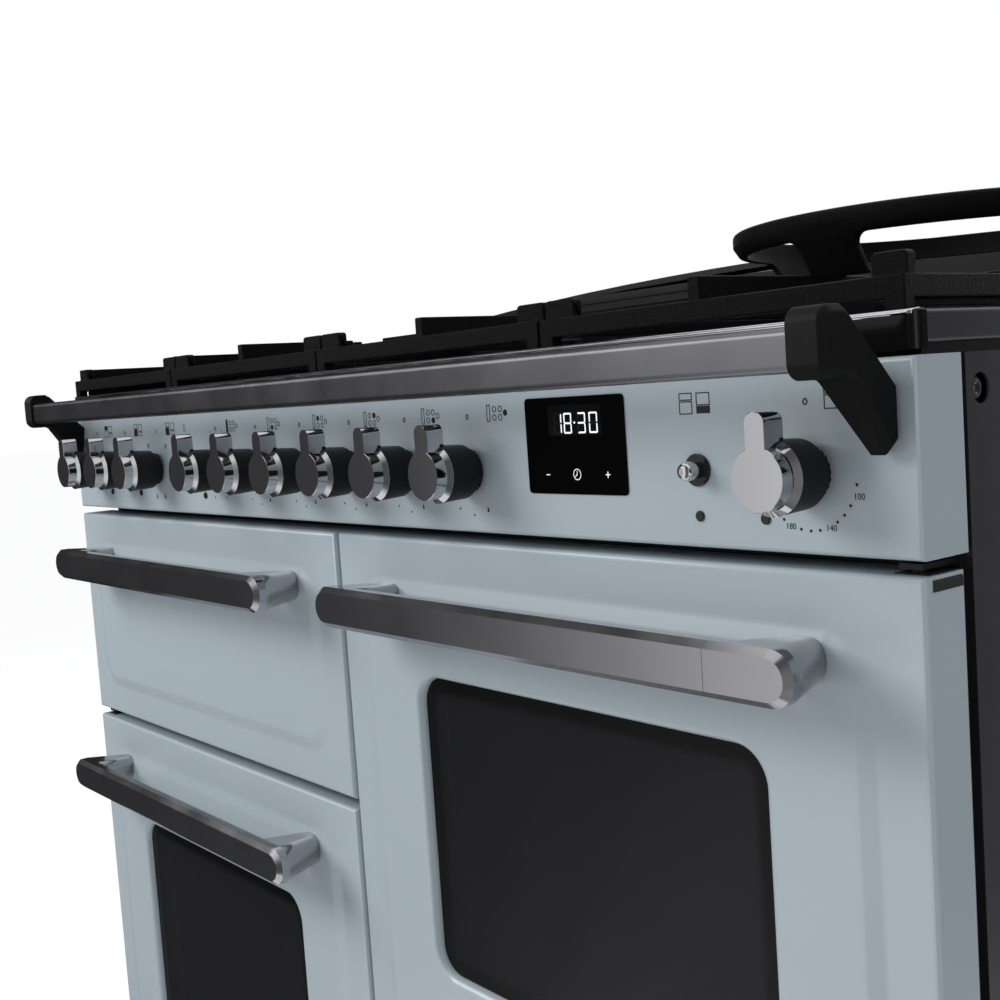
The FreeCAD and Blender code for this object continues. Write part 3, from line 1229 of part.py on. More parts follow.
# ---- write every piece ----
save("carcass_frame", *carcass_frame())
save("left_side_panel", side_panel(LEFT), *side_screws(LEFT))
save("right_side_panel", side_panel(RIGHT), *side_screws(RIGHT))
save("base_chassis", base_chassis())
save("plinth", plinth())
save("back_panel", back_panel())
save("feet_and_forks", *feet_and_forks())
save("rear_rollers", *rear_rollers())

save("grill_cavity", *cavity("grill", False))
save("left_oven_cavity", *cavity("left_oven", True))
save("right_oven_cavity", *cavity("right_oven", True))
save("slow_oven_cavity", *cavity("slow_oven", False))
save("door_seals", *[door_seal(door) for door in DOORS])
save("left_fan", fan("left_oven"))
save("right_fan", fan("right_oven"))
save("fan_motors", fan_motor("left_oven"), fan_motor("right_oven"))
save("heating_elements", ring_element("left_oven"), ring_element("right_oven"),
     flat_element("grill", cavity_heights("grill")[1] - ELEMENT_DROP),
     flat_element("slow_oven", cavity_heights("slow_oven")[0] + ELEMENT_DROP))
save("left_oven_rack", rack("left_oven"))
save("right_oven_rack", rack("right_oven"))
save("grill_carriage", grill_carriage())
save("grill_pan", grill_pan())

for door in DOORS:
    has_window = door in ("left_oven", "right_oven")
    save(door + "_door", door_shell(door, has_window), door_liner(door, has_window))
    save(door + "_handle", handle(door))
    if has_window:
        save(door + "_glass", *door_glass(door))
save("hinge_brackets", *hinge_brackets())

save("control_panel", control_panel())
save("clock", clock())
save("button_bezel_and_lamps", *button_bezel_and_lamps())
save("ignition_button", ignition_button())
for number, knob_x in enumerate(KNOB_X, 1):
    save("knob_%d" % number, knob(knob_x))
save("gas_manifold", gas_manifold())
save("switch_bank", *switch_bank())
save("towel_rail", towel_rail())
save("rail_brackets", rail_bracket(LEFT), rail_bracket(RIGHT))

save("hob_trims", *hob_trims())
save("hob_tray", hob_tray())
save("burner_bodies", *burner_bodies())
save("burner_caps", *burner_caps())
save("rear_vent", rear_vent())
edges = [(a + SUPPORT_GAP / 2, b - SUPPORT_GAP / 2) for a, b in zip(SUPPORT_EDGES, SUPPORT_EDGES[1:])]
save("pan_support_1", long_support(*edges[0]))
save("pan_support_2", pan_support(*edges[1], SUPPORT_MIDDLES[1], (BURNER_FRONT, BURNER_BACK)))
save("pan_support_3", pan_support(*edges[2], SUPPORT_MIDDLES[2], (BURNER_FRONT, BURNER_BACK)))
save("pan_support_4", pan_support(*edges[3], WOK_X, (WOK_Y,)))
save("wok_ring", wok_ring())
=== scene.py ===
import math

import bmesh
import bpy
from mathutils import Matrix, Vector


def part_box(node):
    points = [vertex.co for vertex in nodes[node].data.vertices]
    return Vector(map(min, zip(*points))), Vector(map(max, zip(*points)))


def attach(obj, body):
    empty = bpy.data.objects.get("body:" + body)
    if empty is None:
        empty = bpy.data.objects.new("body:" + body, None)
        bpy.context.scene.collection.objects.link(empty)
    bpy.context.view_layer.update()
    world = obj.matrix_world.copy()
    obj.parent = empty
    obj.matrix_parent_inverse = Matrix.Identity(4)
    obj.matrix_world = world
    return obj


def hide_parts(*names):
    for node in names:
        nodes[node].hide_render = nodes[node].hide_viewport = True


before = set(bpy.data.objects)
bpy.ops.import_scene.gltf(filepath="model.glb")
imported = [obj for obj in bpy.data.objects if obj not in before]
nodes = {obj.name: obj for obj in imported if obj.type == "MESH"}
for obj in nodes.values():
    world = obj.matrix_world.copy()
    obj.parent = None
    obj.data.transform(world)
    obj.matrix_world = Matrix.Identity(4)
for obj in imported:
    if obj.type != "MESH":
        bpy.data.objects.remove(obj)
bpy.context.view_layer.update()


# Studio: a white room with a pale floor, a soft lamp at the front left and a weaker one at the right. Glowing screens
# stand in front and behind and show only in reflections, as is usual for photographs of black chrome: they are
# painted reflections, dark and white in bands set by turn round the cooker.
def linked(name, data):
    """A new object that holds the data, put in the scene."""
    made = bpy.data.objects.new(name, data)
    bpy.context.scene.collection.objects.link(made)
    return made


def settled_mesh(piece):
    """A plain mesh of the piece as its modifiers leave it."""
    return bpy.data.meshes.new_from_object(piece.evaluated_get(bpy.context.evaluated_depsgraph_get()))


camera_data = bpy.data.cameras.new("camera")
camera_data.lens = 47.24
camera_data.sensor_width = 36.0
camera = linked("camera", camera_data)
camera.matrix_world = Matrix((
    (0.62428945, -0.02156481, 0.78089541, 0.9162),
    (0.77822202, 0.10426728, -0.61927281, -0.8285),
    (-0.06806734, 0.99431549, 0.08187517, 0.8783),
    (0, 0, 0, 1),
))
bpy.context.scene.camera = camera
bpy.context.scene.view_settings.view_transform = "Standard"


def shader_node(tree, kind, inputs=None, **settings):
    made = tree.nodes.new("ShaderNode" + kind)
    for key, value in settings.items():
        setattr(made, key, value)
    for key, value in (inputs or {}).items():
        if isinstance(value, bpy.types.NodeSocket):
            tree.links.new(value, made.inputs[key])
        else:
            made.inputs[key].default_value = value
    return made


def math_node(tree, operation, first, second=0.0):
    return shader_node(tree, "Math", {0: first, 1: second}, operation=operation).outputs[0]


def seen_directly(tree):
    """Sockets: the ray paths, and 1 where a ray comes from the camera or a reflection."""
    ray = shader_node(tree, "LightPath")
    return ray, math_node(tree, "MAXIMUM", ray.outputs["Is Camera Ray"], ray.outputs["Is Glossy Ray"])


world = bpy.data.worlds.new("studio")
bpy.context.scene.world = world
world.use_nodes = True
tree = world.node_tree
tree.nodes.clear()
ray, seen = seen_directly(tree)
seen = math_node(tree, "MAXIMUM", seen, ray.outputs["Is Transmission Ray"])
soft = shader_node(tree, "Background", {"Color": (0.95, 0.975, 1.0, 1), "Strength": 0.46})
white = shader_node(tree, "Background", {"Color": (1, 1, 1, 1), "Strength": 1.0})
mixed = shader_node(tree, "MixShader", {0: seen, 1: soft.outputs[0], 2: white.outputs[0]})
shader_node(tree, "OutputWorld", {"Surface": mixed.outputs[0]})


def mesh_piece(name, points, faces, material=None):
    mesh = bpy.data.meshes.new(name)
    mesh.from_pydata([tuple(p) for p in points], [], faces)
    mesh.update()
    if material:
        mesh.materials.append(material)
    return linked(name, mesh)


floor_finish = bpy.data.materials.new("pale_floor")
floor_finish.use_nodes = True
tree = floor_finish.node_tree
shader = tree.nodes["Principled BSDF"]
place = shader_node(tree, "TexCoord")
cloud = shader_node(tree, "TexNoise", {"Vector": place.outputs["Object"], "Scale": 0.8})
tone = shader_node(tree, "MapRange", {0: cloud.outputs[0], 3: 0.86, 4: 0.9})
tree.links.new(tone.outputs[0], shader.inputs["Base Color"])
shader.inputs["Roughness"].default_value = 0.6
ray, seen = seen_directly(tree)
seen = math_node(tree, "MULTIPLY", seen, 0.76)
glow = shader_node(tree, "Emission", {"Color": (1, 1, 1, 1), "Strength": 1.12})
mixed = shader_node(tree, "MixShader", {0: seen, 1: shader.outputs[0], 2: glow.outputs[0]})
tree.links.new(mixed.outputs[0], tree.nodes["Material Output"].inputs["Surface"])
FLOOR_REACH = 40.0
floor = mesh_piece("floor", [(x * FLOOR_REACH, y * FLOOR_REACH, 0) for x, y in ((-1, -1), (1, -1), (1, 1), (-1, 1))],
                   [(0, 1, 2, 3)], floor_finish)

# Painted reflections: the screens glow in a tone set per turn and are hidden from the camera, diffuse light and
# shadows.
screen_finish = bpy.data.materials.new("painted_reflection_screen")
screen_finish.use_nodes = True
tree = screen_finish.node_tree
tree.nodes.remove(tree.nodes["Principled BSDF"])
reflection_tone = shader_node(tree, "Attribute", attribute_name="reflection_tone")
glow = shader_node(tree, "Emission", {"Color": reflection_tone.outputs["Color"], "Strength": 1.0})
tree.links.new(glow.outputs[0], tree.nodes["Material Output"].inputs["Surface"])
SCREEN_RADIUS = 2.2


def painted_reflection_screen(name, steps, height, near=0.75):
    """A curved glowing screen, a painted reflection that only reflections see; steps are (turn from the front towards
    the left, tone).
    """
    points, faces, tones = [], [], []
    for step, (turn, tone) in enumerate(steps):
        x, y = -math.sin(math.radians(turn)), -math.cos(math.radians(turn))
        points += [(x * near, y * near - 0.1, 0.002), (x * SCREEN_RADIUS, y * SCREEN_RADIUS, 0.002),
                   (x * SCREEN_RADIUS, y * SCREEN_RADIUS, height)]
        tones += [tone] * 3
        if step:
            a, b = 3 * step - 3, 3 * step
            faces += [(a, b, b + 1, a + 1), (a + 1, b + 1, b + 2, a + 2)]
    screen = mesh_piece(name, points, faces, screen_finish)
    shades = screen.data.color_attributes.new("reflection_tone", "FLOAT_COLOR", "POINT")
    for i, tone in enumerate(tones):
        shades.data[i].color = (tone, tone, tone * 1.03, 1)
    screen.visible_camera = False
    screen.visible_diffuse = False
    screen.visible_shadow = False
    screen.visible_transmission = False


# Painted reflections: the tone of each band by turn, dark at the front left and white between.
painted_reflection_screen("front_screen", [(-64, 1.0), (-54, 0.3), (-40, 0.12), (-20, 0.12), (-8, 0.6), (2, 1.0), (24, 0.85),
                             (28, 0.72), (34, 0.42), (41, 0.2), (46, 0.09), (52, 0.065), (80, 0.03), (112, 0.03),
                             (130, 0.3), (145, 1.0)], 3.3)
painted_reflection_screen("rear_screen", [(196, 1.0), (212, 0.55), (226, 0.1), (262, 0.08), (276, 0.5), (288, 1.0)], 2.4, 1.4)


def soft_lamp(name, place, aim, size, watts, colour):
    data = bpy.data.lights.new(name, "AREA")
    data.shape = "RECTANGLE"
    data.size, data.size_y = size
    data.energy = watts
    data.color = colour
    lamp = linked(name, data)
    lamp.location = place
    lamp.rotation_euler = (Vector(aim) - Vector(place)).to_track_quat("-Z", "Y").to_euler()


soft_lamp("key", (-2.1, -2.3, 2.3), (0, -0.2, 0.7), (1.8, 1.5), 96, (1.0, 0.995, 0.985))
soft_lamp("fill", (3.0, -1.2, 1.6), (0.4, 0, 0.7), (1.5, 1.8), 11, (0.98, 0.99, 1.0))


# Control panel and door skins: pressed steel with two coats of pale blue-grey enamel, satin, with the faint
# waviness of sprayed sheet. The doors' inner plates are black enamel.
DOOR_PLANE, PANEL_FOOT = 275.0, 781.5


def spot(x, y, z):
    """A place in metres from millimetres off the middle, the door faces and the foot of the control panel."""
    return (x / 1000, (y - DOOR_PLANE) / 1000, (z + PANEL_FOOT) / 1000)


def new_finish(name):
    material = bpy.data.materials.new(name)
    material.use_nodes = True
    tree = material.node_tree
    return material, tree, tree.nodes["Principled BSDF"], shader_node(tree, "TexCoord").outputs["Object"]


def mottle(tree, place, shader, colour, shade, size):
    """Slow changes of colour over the surface, a few per cent either way."""
    cloud = shader_node(tree, "TexNoise", {"Vector": place, "Scale": 1 / size, "Detail": 3.0})
    dark = [c * (1 - shade) for c in colour] + [1]
    light = [c * (1 + shade) for c in colour] + [1]
    mix = shader_node(tree, "Mix", {0: cloud.outputs[0], 6: dark, 7: light}, data_type="RGBA")
    tree.links.new(mix.outputs[2], shader.inputs["Base Color"])
    return mix.outputs[2]


def uneven_gloss(tree, place, shader, low, high, size):
    cloud = shader_node(tree, "TexNoise", {"Vector": place, "Scale": 1 / size, "Detail": 5.0})
    gloss = shader_node(tree, "MapRange", {0: cloud.outputs[0], 1: 0.3, 2: 0.7, 3: low, 4: high})
    tree.links.new(gloss.outputs[0], shader.inputs["Roughness"])
    return gloss.outputs[0]


def surface_grain(tree, place, shader, size, depth):
    grain = shader_node(tree, "TexNoise", {"Vector": place, "Scale": 1 / size, "Detail": 2.0})
    bump = shader_node(tree, "Bump", {"Height": grain.outputs[0], "Distance": depth, "Strength": 1.0})
    tree.links.new(bump.outputs[0], shader.inputs["Normal"])


def coated(name, colour, low, high, shade=0.04, patch=0.15, grain=0.002, depth=0.00002, metallic=0.0, coat=0.0,
           specular=0.5):
    material, tree, shader, place = new_finish(name)
    mottle(tree, place, shader, colour, shade, patch)
    uneven_gloss(tree, place, shader, low, high, patch / 3)
    surface_grain(tree, place, shader, grain, depth)
    shader.inputs["Metallic"].default_value = metallic
    shader.inputs["Coat Weight"].default_value = coat
    shader.inputs["Coat Roughness"].default_value = 0.08
    shader.inputs["Specular IOR Level"].default_value = specular
    return material


def past(tree, place, axis, edge):
    """1 where the place on an axis is past an edge, else 0."""
    axes = shader_node(tree, "SeparateXYZ", {0: place})
    return math_node(tree, "GREATER_THAN", axes.outputs["XYZ".index(axis)], edge)


def second_colour(material, mask, colour, roughness=None):
    """Change a finish's colour, and its roughness if given, where the mask is 1."""
    tree = material.node_tree
    shader = tree.nodes["Principled BSDF"]
    first = shader.inputs["Base Color"].links[0].from_socket
    mix = shader_node(tree, "Mix", {0: mask, 6: first, 7: list(colour) + [1]}, data_type="RGBA")
    tree.links.new(mix.outputs[2], shader.inputs["Base Color"])
    if roughness is not None:
        first = shader.inputs["Roughness"].links[0].from_socket
        mix = shader_node(tree, "Mix", {0: mask, 2: first, 3: roughness})
        tree.links.new(mix.outputs[0], shader.inputs["Roughness"])


def object_place(material):
    return [n for n in material.node_tree.nodes if n.type == "TEX_COORD"][0].outputs["Object"]


def dress(material, *names):
    for name in names:
        slots = nodes[name].data.materials
        slots.clear()
        slots.append(material)


def evened(piece, angle):
    """Shade curves smooth and flats flat; faces that meet more sharply than the angle keep their edge."""
    piece.data.shade_smooth()
    piece.data.set_sharp_from_angle(angle=math.radians(angle))
    even = piece.modifiers.new("even", "WEIGHTED_NORMAL")
    even.keep_sharp = True
    mesh = settled_mesh(piece)
    piece.modifiers.clear()
    piece.data = mesh


def on_rim(point, middle, half, corner):
    off_x = max(abs(point.x - middle[0]) - half[0] + corner, 0)
    off_z = max(abs(point.z - middle[1]) - half[1] + corner, 0)
    return abs(math.hypot(off_x, off_z) - corner) < 0.0004 and max(off_x, off_z) > 0.5 * corner


def fair_copy(name, body, material, angle=25.0, edge=0.0, window=None):
    """A node's own shape with its triangles joined, its curves shaded smooth and, if asked, its edges eased."""
    mesh = nodes[name].data.copy()
    mesh.name = name + "_fair"
    mesh.materials.clear()
    mesh.materials.append(material)
    work = bmesh.new()
    work.from_mesh(mesh)
    bmesh.ops.remove_doubles(work, verts=work.verts, dist=0.000004)
    bmesh.ops.dissolve_limit(work, angle_limit=math.radians(0.6), verts=work.verts, edges=work.edges)
    if window:
        face = min(v.co.y for v in work.verts) + 0.0003
        rim = [e for e in work.edges if all(v.co.y < face and on_rim(v.co, *window) for v in e.verts)]
        bmesh.ops.bevel(work, geom=rim, offset=RIM_ROUND, segments=6, profile=0.5, affect="EDGES",
                        clamp_overlap=False)
    work.to_mesh(mesh)
    work.free()
    piece = linked(name + "_fair", mesh)
    if edge:
        ease = piece.modifiers.new("ease", "BEVEL")
        ease.width = edge
        ease.segments = 2
        ease.limit_method = "ANGLE"
        ease.angle_limit = math.radians(35)
        ease.use_clamp_overlap = False
        eased = settled_mesh(piece)
        piece.modifiers.clear()
        piece.data = eased
    evened(piece, angle)
    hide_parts(name)
    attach(piece, body)
    return piece


GLASS_LAP, WINDOW_CORNER, RIM_ROUND = 0.010, 0.022, 0.0065


def window_of(glass):
    """Middle, half sizes and corner radius of the opening in front of a door's glass."""
    (x0, _, z0), (x1, _, z1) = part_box(glass)
    return (((x0 + x1) / 2, (z0 + z1) / 2), ((x1 - x0) / 2 - GLASS_LAP, (z1 - z0) / 2 - GLASS_LAP), WINDOW_CORNER)


PAINT = (0.352, 0.416, 0.450)
paint = coated("blue_grey_enamel", PAINT, 0.3, 0.38, shade=0.025, patch=0.4, grain=0.0016, depth=0.000012, coat=0.25)
door_paint = coated("door_enamel", PAINT, 0.3, 0.38, shade=0.025, patch=0.4, grain=0.0016, depth=0.000012,
                    coat=0.25)
inside = past(door_paint.node_tree, object_place(door_paint), "Y", spot(0, 34.4, 0)[1])
second_colour(door_paint, inside, (0.012, 0.012, 0.014), 0.18)
fair_copy("control_panel", "cooker", paint)
for door, window in (("right_oven_door", window_of("right_oven_glass")),
                     ("left_oven_door", window_of("left_oven_glass")), ("slow_oven_door", None)):
    fair_copy(door, door, door_paint, window=window)
fair_copy("grill_door", "grill_drawer", door_paint)


# Corner clips on the oven doors: dark spring steel folded over the top edge beside the hinge. Each is a strip
# with a rounded bend and a short lip down the door's outer side.
clip_steel = coated("clip_steel", (0.022, 0.020, 0.020), 0.3, 0.42, shade=0.15, patch=0.02, metallic=0.3)
CLIP = 0.6
for body, side, top in (("right_oven_door", 1, -8.0), ("left_oven_door", -1, -240.0)):
    profile = [(524.0, top + 0.05), (541.5, top + 0.05), (544.6, top - 0.9), (546.05, top - 3.2), (546.05, top - 8.0)]
    outer = [(524.0, top + CLIP), (541.8, top + CLIP), (545.2, top - 0.5), (546.6, top - 3.0), (546.6, top - 8.0)]
    loop = outer + profile[::-1]
    points = [spot(side * x, y, z) for y in (7.5, 33.5) for x, z in loop]
    count = len(loop)
    faces = [tuple(range(count)), tuple(range(2 * count - 1, count - 1, -1))]
    faces += [(i, i + count, (i + 1) % count + count, (i + 1) % count) for i in range(count)]
    clip = mesh_piece(body + "_clip", points, faces, clip_steel)
    work = bmesh.new()
    work.from_mesh(clip.data)
    bmesh.ops.recalc_face_normals(work, faces=work.faces)
    bmesh.ops.bevel(work, geom=work.edges, offset=0.00012, segments=1, affect="EDGES")
    work.to_mesh(clip.data)
    work.free()
    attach(clip, body)


# Marks on the control panel: fired black ink, so each is a raised film. A ring for off and a plan of the burners or
# of the ovens stand above each knob; dots, flames and temperatures stand round it.
ink = coated("fired_ink", (0.009, 0.009, 0.010), 0.35, 0.5, shade=0.1, patch=0.01, specular=0.3)
INK_DEPTH = 0.14
INK_LINE = 0.6


def film(work, outline, y, depth, hole=None):
    """A thin plate from an outline in X and Z; with a hole of as many points it is a frame."""
    rings = [outline] + ([hole] if hole else [])
    rows = [[[work.verts.new(spot(x, yy, z)) for x, z in ring] for ring in rings] for yy in (y - depth, y + 0.2)]
    count = len(outline)
    for row in rows:
        if hole:
            for i in range(count):
                j = (i + 1) % count
                work.faces.new((row[0][i], row[0][j], row[1][j], row[1][i]))
        else:
            work.faces.new(row[0])
    for k in range(len(rings)):
        for i in range(count):
            j = (i + 1) % count
            work.faces.new((rows[0][k][i], rows[0][k][j], rows[1][k][j], rows[1][k][i]))


def oval(x, z, half_x, half_z, steps=20):
    return [(x + half_x * math.cos(2 * math.pi * i / steps), z + half_z * math.sin(2 * math.pi * i / steps))
            for i in range(steps)]


def frame_corners(x0, x1, z0, z1):
    return [(x0, z0), (x1, z0), (x1, z1), (x0, z1)]


def ring_mark(work, x, z, half_x, half_z, filled=False, y=0.0, line=INK_LINE, depth=INK_DEPTH):
    hole = None if filled else oval(x, z, half_x - line, half_z - line)
    film(work, oval(x, z, half_x, half_z), y, depth, hole)


def box_mark(work, x0, x1, z0, z1, filled=False):
    hole = None if filled else frame_corners(x0 + INK_LINE, x1 - INK_LINE, z0 + INK_LINE, z1 - INK_LINE)
    film(work, frame_corners(x0, x1, z0, z1), 0.0, INK_DEPTH, hole)


def flame_mark(work, x, z, tall=3.6):
    outline = [(0, 0.5), (0.16, 0.18), (0.3, -0.12), (0.27, -0.38), (0.1, -0.5), (-0.1, -0.5), (-0.27, -0.38),
               (-0.3, -0.12), (-0.16, 0.18)]
    film(work, [(x + a * tall, z + b * tall) for a, b in outline], 0.0, INK_DEPTH)


def burner_plan(work, x, lit):
    box_mark(work, x + 22.3, x + 26.1, 77.1, 88.7, lit == "long")
    for name, dx, z in (("back_left", 30.6, 85.5), ("back_right", 36.9, 85.5), ("front_left", 30.6, 79.8),
                        ("front_right", 36.9, 79.8), ("wok", 42.3, 82.8)):
        ring_mark(work, x + dx, z, 2.2, 2.2, lit == name)


def oven_plan(work, x, lit, stretch=1.0):
    for name, x0, x1, z0, z1 in (("grill", 0, 10.1, 7.9, 12.3), ("left", 0, 10.1, 0, 7.5),
                                 ("right", 13.2, 23.5, 4.8, 12.2), ("slow", 13.2, 23.5, 0.3, 4.5)):
        box_mark(work, x + x0 * stretch, x + x1 * stretch, 76.7 + z0, 76.7 + z1, lit == name)


def numeral(work, text, x, z, size):
    """A number cut from flat type, made mesh first and then stood on the panel."""
    curve = bpy.data.curves.new("numeral", "FONT")
    curve.body = text
    curve.size = size / 1000
    curve.align_x = curve.align_y = "CENTER"
    curve.resolution_u = 3
    curve.extrude = INK_DEPTH / 2000
    type_piece = linked("numeral", curve)
    bpy.context.view_layer.update()
    flat = settled_mesh(type_piece)
    flat.transform(Matrix.Translation(spot(x, 0.0 - INK_DEPTH / 2, z)) @ Matrix.Rotation(math.pi / 2, 4, "X"))
    work.from_mesh(flat)
    bpy.data.objects.remove(type_piece)
    bpy.data.curves.remove(curve)
    bpy.data.meshes.remove(flat)


def finished(name, work, material, body, recalc=True):
    """Turn the work into a piece of the cooker that rides on a body."""
    if recalc:
        bmesh.ops.recalc_face_normals(work, faces=work.faces)
    mesh = bpy.data.meshes.new(name)
    work.to_mesh(mesh)
    work.free()
    mesh.materials.append(material)
    piece = linked(name, mesh)
    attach(piece, body)
    return piece


OVEN_KNOBS = (-480.7, -406.3, -331.9)
GAS_KNOBS = tuple(-4.95 + (i - 2.5) * 77.1 for i in range(6))
LAST_KNOB = 479.5
KNOB_HEIGHT = 43.6
DIAL_RADIUS = 30.7


def dial_dots(work, x, turns, size):
    for turn in map(math.radians, turns):
        across, up = DIAL_RADIUS * math.cos(turn), DIAL_RADIUS * math.sin(turn)
        ring_mark(work, x + across, KNOB_HEIGHT + up, size, size, True)


marks = bmesh.new()
for x in OVEN_KNOBS[:2] + GAS_KNOBS + (LAST_KNOB,):
    ring_mark(marks, x, 81.0, 1.65, 1.95, line=0.8)
film(marks, frame_corners(-328.2, -327.2, 79.2, 82.9), 0.0, INK_DEPTH)
ring_mark(marks, -263.1, 82.9, 2.6, 3.6)
for x, z in ((-209.3, 78.4), (-184.8, 79.1)):
    ring_mark(marks, x, z, 0.6, 0.6, True)
for x, lit in zip(GAS_KNOBS, ("long", "front_left", "back_left", "back_right", "front_right", "wok")):
    burner_plan(marks, x, lit)
for x in GAS_KNOBS[1:]:
    ring_mark(marks, x - 15, 16.6, 0.8, 0.8, True)
    ring_mark(marks, x + 1, 12.5, 0.8, 0.8, True)
    flame_mark(marks, x + 17, 16.8)
for x in (GAS_KNOBS[0] - 11, GAS_KNOBS[0] + 12, -493.3, -471.7):
    film(marks, frame_corners(x - 0.35, x + 0.35, 15.6, 18.4), 0.0, INK_DEPTH)
dial_dots(marks, OVEN_KNOBS[1], [-125 + step * 17.5 for step in range(5)], 0.7)
for x, z in ((-349.4, 66.5), (-308.4, 66.0), (-338.1, 15.2), (-318.9, 15.6)):
    box_mark(marks, x - 2.0, x + 2.0, z - 2.3, z + 2.3)
    ring_mark(marks, x, z, 0.7, 0.7, True)
oven_plan(marks, -459.2, "grill", 0.84)
oven_plan(marks, -381.5, "left", 0.84)
oven_plan(marks, -305.1, "left", 0.84)
oven_plan(marks, 389.7, "slow")
oven_plan(marks, 491.5, "right")
dial_dots(marks, LAST_KNOB, (-11, -33, -45, -56, -79, -90, -102, -125), 0.85)
for text, x, z in (("100", 510.8, 31.5), ("140", 492.7, 14.8), ("180", 466.4, 14.8)):
    numeral(marks, text, x, z, 4.7)
finished("panel_marks", marks, ink, "cooker")


# Clock: a black glass with its corners rounded, clipped into the panel. Behind it a smoky display shows the hour in
# lit bars, with the unlit ones faint, and three touch marks stand below.
clock_glass = coated("clock_glass", (0.0008, 0.0008, 0.001), 0.03, 0.05, shade=0.05, grain=0.01, depth=0.000002,
                     specular=0.03)
dress(clock_glass, "clock")
CLOCK_FACE = -0.8
screen_film = coated("display_film", (0.003, 0.0032, 0.0036), 0.25, 0.35, shade=0.06, patch=0.02, specular=0.05)
faint_bars = coated("unlit_bars", (0.012, 0.0123, 0.013), 0.25, 0.35, shade=0.06, patch=0.02, specular=0.05)
lit_bars, tree, shader, place = new_finish("lit_bars")
mottle(tree, place, shader, (0.8, 0.82, 0.84), 0.03, 0.004)
uneven_gloss(tree, place, shader, 0.4, 0.5, 0.004)
shader.inputs["Emission Color"].default_value = (0.93, 0.97, 1.0, 1)
shader.inputs["Emission Strength"].default_value = 0.55
display = bmesh.new()
film(display, frame_corners(274.5, 323.9, 66.5, 85.7), CLOCK_FACE, 0.03)
finished("clock_display", display, screen_film, "cooker")
BAR, BAR_GAP, BAR_DEPTH = 1.1, 0.25, 0.06
DIGIT_FOOT, DIGIT_TOP = 67.6, 80.8
DIGIT_MIDDLE = (DIGIT_FOOT + DIGIT_TOP) / 2
SHAPES = {"0": "abcdef", "1": "bc", "3": "abcdg", "8": "abcdefg"}
lit, unlit = bmesh.new(), bmesh.new()
for digit, x0, x1 in (("1", 280.0, 287.5), ("8", 289.5, 297.0), ("3", 302.5, 310.0), ("0", 313.2, 320.9)):
    strokes = {
        "a": ((x0, DIGIT_TOP), (x1, DIGIT_TOP)), "b": ((x1, DIGIT_MIDDLE), (x1, DIGIT_TOP)),
        "c": ((x1, DIGIT_FOOT), (x1, DIGIT_MIDDLE)), "d": ((x0, DIGIT_FOOT), (x1, DIGIT_FOOT)),
        "e": ((x0, DIGIT_FOOT), (x0, DIGIT_MIDDLE)), "f": ((x0, DIGIT_MIDDLE), (x0, DIGIT_TOP)),
        "g": ((x0, DIGIT_MIDDLE), (x1, DIGIT_MIDDLE)),
    }
    for segment in sorted(strokes):
        (ax, az), (bx, bz) = strokes[segment]
        along = Vector((bx - ax, bz - az)).normalized()
        across = Vector((-along.y, along.x)) * BAR / 2
        a, b = Vector((ax, az)) + along * BAR_GAP, Vector((bx, bz)) - along * BAR_GAP
        tip = along * BAR / 2
        outline = [a, a + tip - across, b - tip - across, b, b - tip + across, a + tip + across]
        inward = Vector((1 if segment in "ef" else -1 if segment in "bc" else 0,
                         1 if segment == "d" else -1 if segment == "a" else 0)) * BAR / 2
        work = lit if segment in SHAPES[digit] else unlit
        film(work, [tuple(p + inward) for p in outline], CLOCK_FACE, BAR_DEPTH)
ring_mark(lit, 299.7, 74.5, 0.75, 0.75, True, CLOCK_FACE, depth=BAR_DEPTH)
film(lit, frame_corners(269.8, 273.2, 41.1, 41.6), CLOCK_FACE, BAR_DEPTH)
ring_mark(lit, 299.4, 41.7, 3.6, 3.6, False, CLOCK_FACE, 0.4, BAR_DEPTH)
film(lit, frame_corners(299.2, 299.6, 41.2, 44.0), CLOCK_FACE, BAR_DEPTH)
film(lit, [(299.3, 41.5), (297.6, 39.9), (297.3, 40.2), (299.0, 41.8)], CLOCK_FACE, BAR_DEPTH)
film(lit, [(325.7, 41.4), (327.3, 41.4), (327.3, 39.8), (327.9, 39.8), (327.9, 41.4), (329.5, 41.4),
           (329.5, 42.0), (327.9, 42.0), (327.9, 43.6), (327.3, 43.6), (327.3, 42.0), (325.7, 42.0)],
     CLOCK_FACE, BAR_DEPTH)
finished("clock_lit_bars", lit, lit_bars, "cooker")
finished("clock_unlit_bars", unlit, faint_bars, "cooker")


# Side panels and plinth: sheet steel in dark gunmetal satin paint. Chromed dome-headed screws, sunk in round
# recesses, fix the side panels to the carcass; each has a six-lobed socket.
gunmetal_paint = coated("gunmetal_paint", (0.075, 0.075, 0.08), 0.34, 0.42, shade=0.06, patch=0.3, grain=0.0009,
                        depth=0.000012, metallic=0.85)
dress(gunmetal_paint, "left_side_panel", "right_side_panel", "plinth")
bright_chrome, tree, shader, place = new_finish("bright_chrome")
mottle(tree, place, shader, (0.62, 0.62, 0.64), 0.04, 0.2)
uneven_gloss(tree, place, shader, 0.05, 0.1, 0.05)
shader.inputs["Metallic"].default_value = 1.0


